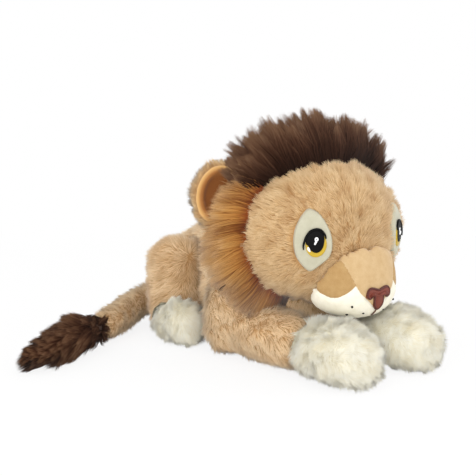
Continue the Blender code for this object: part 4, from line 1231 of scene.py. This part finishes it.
# %% Pile on the head and ears
MANE_FRONT = -0.0725
MUZZLE_REST = np.array([0.0, -0.150, 0.085])
CREST_DEPTH = 0.034


def crest_front(spots):
    """Where the crest starts on the brow: further forward at the middle than at the sides."""
    return -0.0965 + 0.0235 * (np.abs(spots[:, 0]) / 0.064) ** 1.6


def from_muzzle(spots):
    return unit(spots - MUZZLE_REST) + [0.0, 0.0, -0.25]


def in_patch(spots, word, grow):
    """True where a place lies behind an eye patch."""
    own = np.array(eye_frames[word].inverted())
    local = spots @ own[:3, :3].T + own[:3, 3]
    line = eye_outlines[word]
    middle = line.mean(0)
    turn = np.arctan2(*(line - middle).T[::-1])
    order = np.argsort(turn)
    reach = np.hypot(*(line - middle).T)[order]
    spot = local[:, :2] - middle
    edge = np.interp(np.arctan2(spot[:, 1], spot[:, 0]), turn[order], reach, period=2 * math.pi)
    return (np.hypot(spot[:, 0], spot[:, 1]) < edge * grow) & (np.abs(local[:, 2]) < 0.03)


def on_face(spots):
    kept = (spots[:, 1] < MANE_FRONT + 0.010) & (spots[:, 2] > 0.056)
    kept &= ~((spots[:, 2] > 0.165) & (spots[:, 1] > crest_front(spots) + 0.008))
    for word, _ in SIDES:
        kept &= ~in_patch(spots, word, 0.96)
    kept[kept] = ~under(spots[kept], "muzzle", 0.0)
    return kept


# The face pile is painted darker along the brow darts: painted shade in the crease.
face_pile = pile("face_pile", head, tan_pile, from_muzzle, density=1.15, seed=70, keep=on_face,
                 length=0.0085, tint=lambda spots: -0.6 * near_lines(spots, brow_darts, 0.0028))
ear_piles = {}
for word, side in SIDES:
    base = np.array([side * 0.070, -0.040, 0.135])
    ear_piles[word] = pile(
        f"ear_pile_{word}", ear_backs[word], tan_pile, lambda spots: unit(spots - base),
        density=1.5, length=0.0075, lean=55, seed=75 + side, thickness=0.00036,
        keep=lambda spots: (cup_depth(spots, word) > 1.06) & ~under(spots, "head", 0.001))

# %% [markdown]
# ## Crest, mane and tail tuft
# The long hair is the same kind of spike with a few joints, so that it can bend. Its roots stand
# in a band of the head's skin, as in the seam of the real one, and it fans from there:
# straight up in the crest, out and back in the mane. Locks form by drawing hairs together.

# %% Long hair


def long_hair(name, spots, normals, way, length, material, bend=(0, 0, 0), thickness=0.0005,
              joints=2, locks=0.02, pull=0.6, stray=0.12, seed=1, keep_off=None, tint=None):
    """Hairs from these roots: way is where they start towards, and bend what they give in to."""
    dice = np.random.default_rng(seed)
    count = len(spots)
    way = unit(way + dice.normal(0, stray, (count, 3))
               + wander(spots, 0.030, seed + 1)[:, None] * np.cross(way, normals) * 0.25)
    reach = length * (1 + np.clip(dice.normal(0, 0.13, count), -0.3, 0.18)
                      + wander(spots, 0.018, seed + 2) * 0.12)
    bend = np.broadcast_to(np.asarray(bend, float), (count, 3))
    paths = np.empty((count, joints + 1, 3))
    for j in range(joints + 1):
        share = j / joints
        paths[:, j] = (spots - normals * 0.001
                       + (way * share + bend * share * share) * reach[:, None])
    draw_together(paths, locks, pull, seed + 3, power=1.4)
    draw_together(paths, locks * 0.12, pull * 0.45, seed + 4, power=1.2)
    if keep_off:
        push_out(paths, keep_off, 0.0025)
    shade = 0.5 + wander(spots, 0.014, seed + 5) * 0.2 + dice.normal(0, 0.18, count)
    if tint is not None:
        shade = shade + tint
    return hair_piece(name, paths, normals, thickness, shade, material)


# %% Crest
# Its roots start above this height, it is full length a little higher, and the near end is combed
# shorter than the far one.
CREST_FOOT, CREST_FULL = 0.160, 0.018
CREST_LENGTH, NEAR_CUT, FAR_CUT = 0.047, 0.38, 0.08
crest_axis = np.array([0.0, -0.072, 0.115])

head_spots, head_normals = roots_on(head, 3.0, 80)
high = head_spots[:, 2] > CREST_FOOT
behind_front = head_spots[:, 1] - crest_front(head_spots)
in_crest = high & (behind_front > 0) & (behind_front < CREST_DEPTH)
spots, normals = head_spots[in_crest], head_normals[in_crest]
fan = unit((spots - crest_axis) * [1, 0, 1])
depth_share = (spots[:, 1] - crest_front(spots)) / CREST_DEPTH
crest_way = unit(fan + np.stack([spots[:, 0] * 2, -0.02 + depth_share * 0.45,
                                 np.zeros(len(spots))], 1))
end_share = np.clip((spots[:, 2] - CREST_FOOT) / CREST_FULL, 0, 1)
combed = np.where(spots[:, 0] < 0, NEAR_CUT, FAR_CUT)
lengths = CREST_LENGTH * (1 - combed * (1 - end_share)) * (1 - 0.12 * depth_share)
front = depth_share < 0.45
crest_pieces = [
    long_hair(name, spots[row], normals[row], crest_way[row], lengths[row], brown_pile,
              bend=(-0.02, 0.12, -0.02), locks=0.022, pull=0.80, stray=0.18, seed=90 + k,
              thickness=0.00045)
    for k, (name, row) in enumerate((("crest_hair_front", front), ("crest_hair_rear", ~front)))]

# %% Mane
# It grows in a strip behind the cheeks, between these angles round the head, and is brown behind.
MANE_LENGTH = 0.032
MANE_DEPTH = 0.032
MANE_BOTTOM, MANE_TOP = -58, 44
mane_spots, mane_normals = roots_on(head, 2.3, 100)
round_head = np.degrees(np.arctan2(mane_spots[:, 2] - 0.122, np.abs(mane_spots[:, 0])))
back_share = (mane_spots[:, 1] - MANE_FRONT) / MANE_DEPTH
in_mane = (back_share > 0) & (back_share < 1)
in_mane &= (round_head < MANE_TOP) & (round_head > MANE_BOTTOM)
mane_pieces = {}
for word, side in SIDES:
    rows = in_mane & (mane_spots[:, 0] * side > 0)
    spots, normals = mane_spots[rows], mane_normals[rows]
    low = np.clip((0.115 - spots[:, 2]) / 0.05, 0, 1)[:, None]
    out = normals * (1.0 + 0.25 * low) + [0.0, 0.20, -0.05]
    mane_pieces[word] = long_hair(
        f"mane_hair_{word}", spots, normals, out, MANE_LENGTH, ginger_pile,
        bend=(0.0, 0.14, -0.16), locks=0.03, pull=0.6, seed=110 + side, keep_off="head",
        thickness=0.0005, tint=0.25 * back_share[rows] - 0.1)

# %% Nape
behind_crest = mane_spots[:, 1] > crest_front(mane_spots) + CREST_DEPTH * 0.9
in_nape = ((back_share > 0.9) | ((round_head > 40) & behind_crest)) & (mane_spots[:, 2] > 0.062)
spots, normals = mane_spots[in_nape][::4], mane_normals[in_nape][::4]
low = np.clip((0.115 - spots[:, 2]) / 0.04, 0, 1)
nape = long_hair("nape_hair", spots, normals, normals + [0.0, 0.35, -0.40], 0.026 + 0.016 * low,
                 brown_pile, bend=(0.0, 0.05, -0.3), locks=0.03, seed=120, keep_off="head",
                 thickness=0.0007)

# %% Tail tuft
spots, normals = roots_on(core, 2.2, 130)
along = unit(np.tile([-0.92, -0.36, 0.02], (len(spots), 1)))
from_start = (spots * along).sum(1)
opened = np.clip((from_start - from_start.min()) / 0.010, 0, 1)
tuft_way = along * (1.3 * opened - 0.3)[:, None] + normals * (0.5 - 0.08 * opened)[:, None]
tuft = long_hair("tuft_hair", spots, normals, tuft_way, 0.010 + 0.018 * opened, brown_pile,
                 bend=(0.0, 0.0, -0.05), locks=0.02, seed=131, thickness=0.0005)

# %% Riding


def belongs(piece, body, slot, *nodes, fill=None):
    """Attaches a piece to the body that carries it, and hides the imported pieces it stands for.
    Its slot and fill are not used.
    """
    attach(piece, body)
    if nodes:
        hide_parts(*nodes)


bpy.data.objects.remove(muzzle_skin)
belongs(torso, "torso", "pale_tan_fur", "torso_skin", "torso_filling", fill=0.7)
for piece in torso_piles:
    belongs(piece, "torso", "pale_tan_fur")
belongs(neck, "neck", "fibre_fill", "neck", fill=0.7)
belongs(head, "head", "tan_fur", "head_skin", "head_filling", fill=0.7)
belongs(face_pile, "head", "tan_fur")
for part, panel in panels.items():
    slot = "cream_suede" if part.startswith("lower") else "tan_suede"
    belongs(panel, "head", slot, f"muzzle_{part}")
belongs(muzzle_stuffing, "head", "fibre_fill", "muzzle_filling", fill=0.8)
belongs(nose, "head", "brown_thread", "nose")
belongs(nose_rim, "head", "brown_thread")
belongs(mouth, "head", "brown_thread")
belongs(crest_pieces[0], "head", "brown_fur", "crest")
belongs(crest_pieces[1], "head", "brown_fur")
belongs(nape, "head", "brown_fur", "mane_back")
EYE_SLOTS = {"eye_patch": "cream_suede", "iris": "gold_thread", "pupil": "black_thread",
             "eye_glint": "white_thread"}
LIMBS = {"leg": ("front_leg", "front_leg", "pale_tan_fur"),
         "paw": ("front_paw", "front_leg", "cream_fur"),
         "haunch": ("haunch", "hind_leg", "pale_tan_fur"),
         "foot": ("hind_paw", "hind_leg", "cream_fur")}
for word, _ in SIDES:
    for node, piece in eye_pieces[word].items():
        belongs(piece, "head", EYE_SLOTS[node], f"{node}_{word}")
    for piece, slot in zip(lid_lines[word], ("black_thread", "white_thread", "black_thread",
                                             "white_thread")):
        belongs(piece, "head", slot)
    belongs(dots[word], "head", "black_thread")
    belongs(ear_backs[word], "head", "tan_fur", f"ear_{word}_back")
    belongs(ear_linings[word], "head", "tan_suede", f"ear_{word}_lining")
    belongs(ear_piles[word], "head", "tan_fur")
    belongs(mane_pieces[word], "head", "ginger_fur", f"mane_{word}")
    for part, (node, body, slot) in LIMBS.items():
        belongs(limbs[f"{part}_{word}"], f"{body}_{word}", slot, f"{node}_{word}", fill=0.7)
        belongs(piles[f"{part}_{word}"], f"{body}_{word}", slot)
belongs(tube, "tail", "pale_tan_fur", "tail_tube", fill=0.7)
belongs(tube_pile, "tail", "pale_tan_fur")
belongs(core, "tail", "brown_fur", "tail_tuft", fill=0.7)
belongs(tuft, "tail", "brown_fur")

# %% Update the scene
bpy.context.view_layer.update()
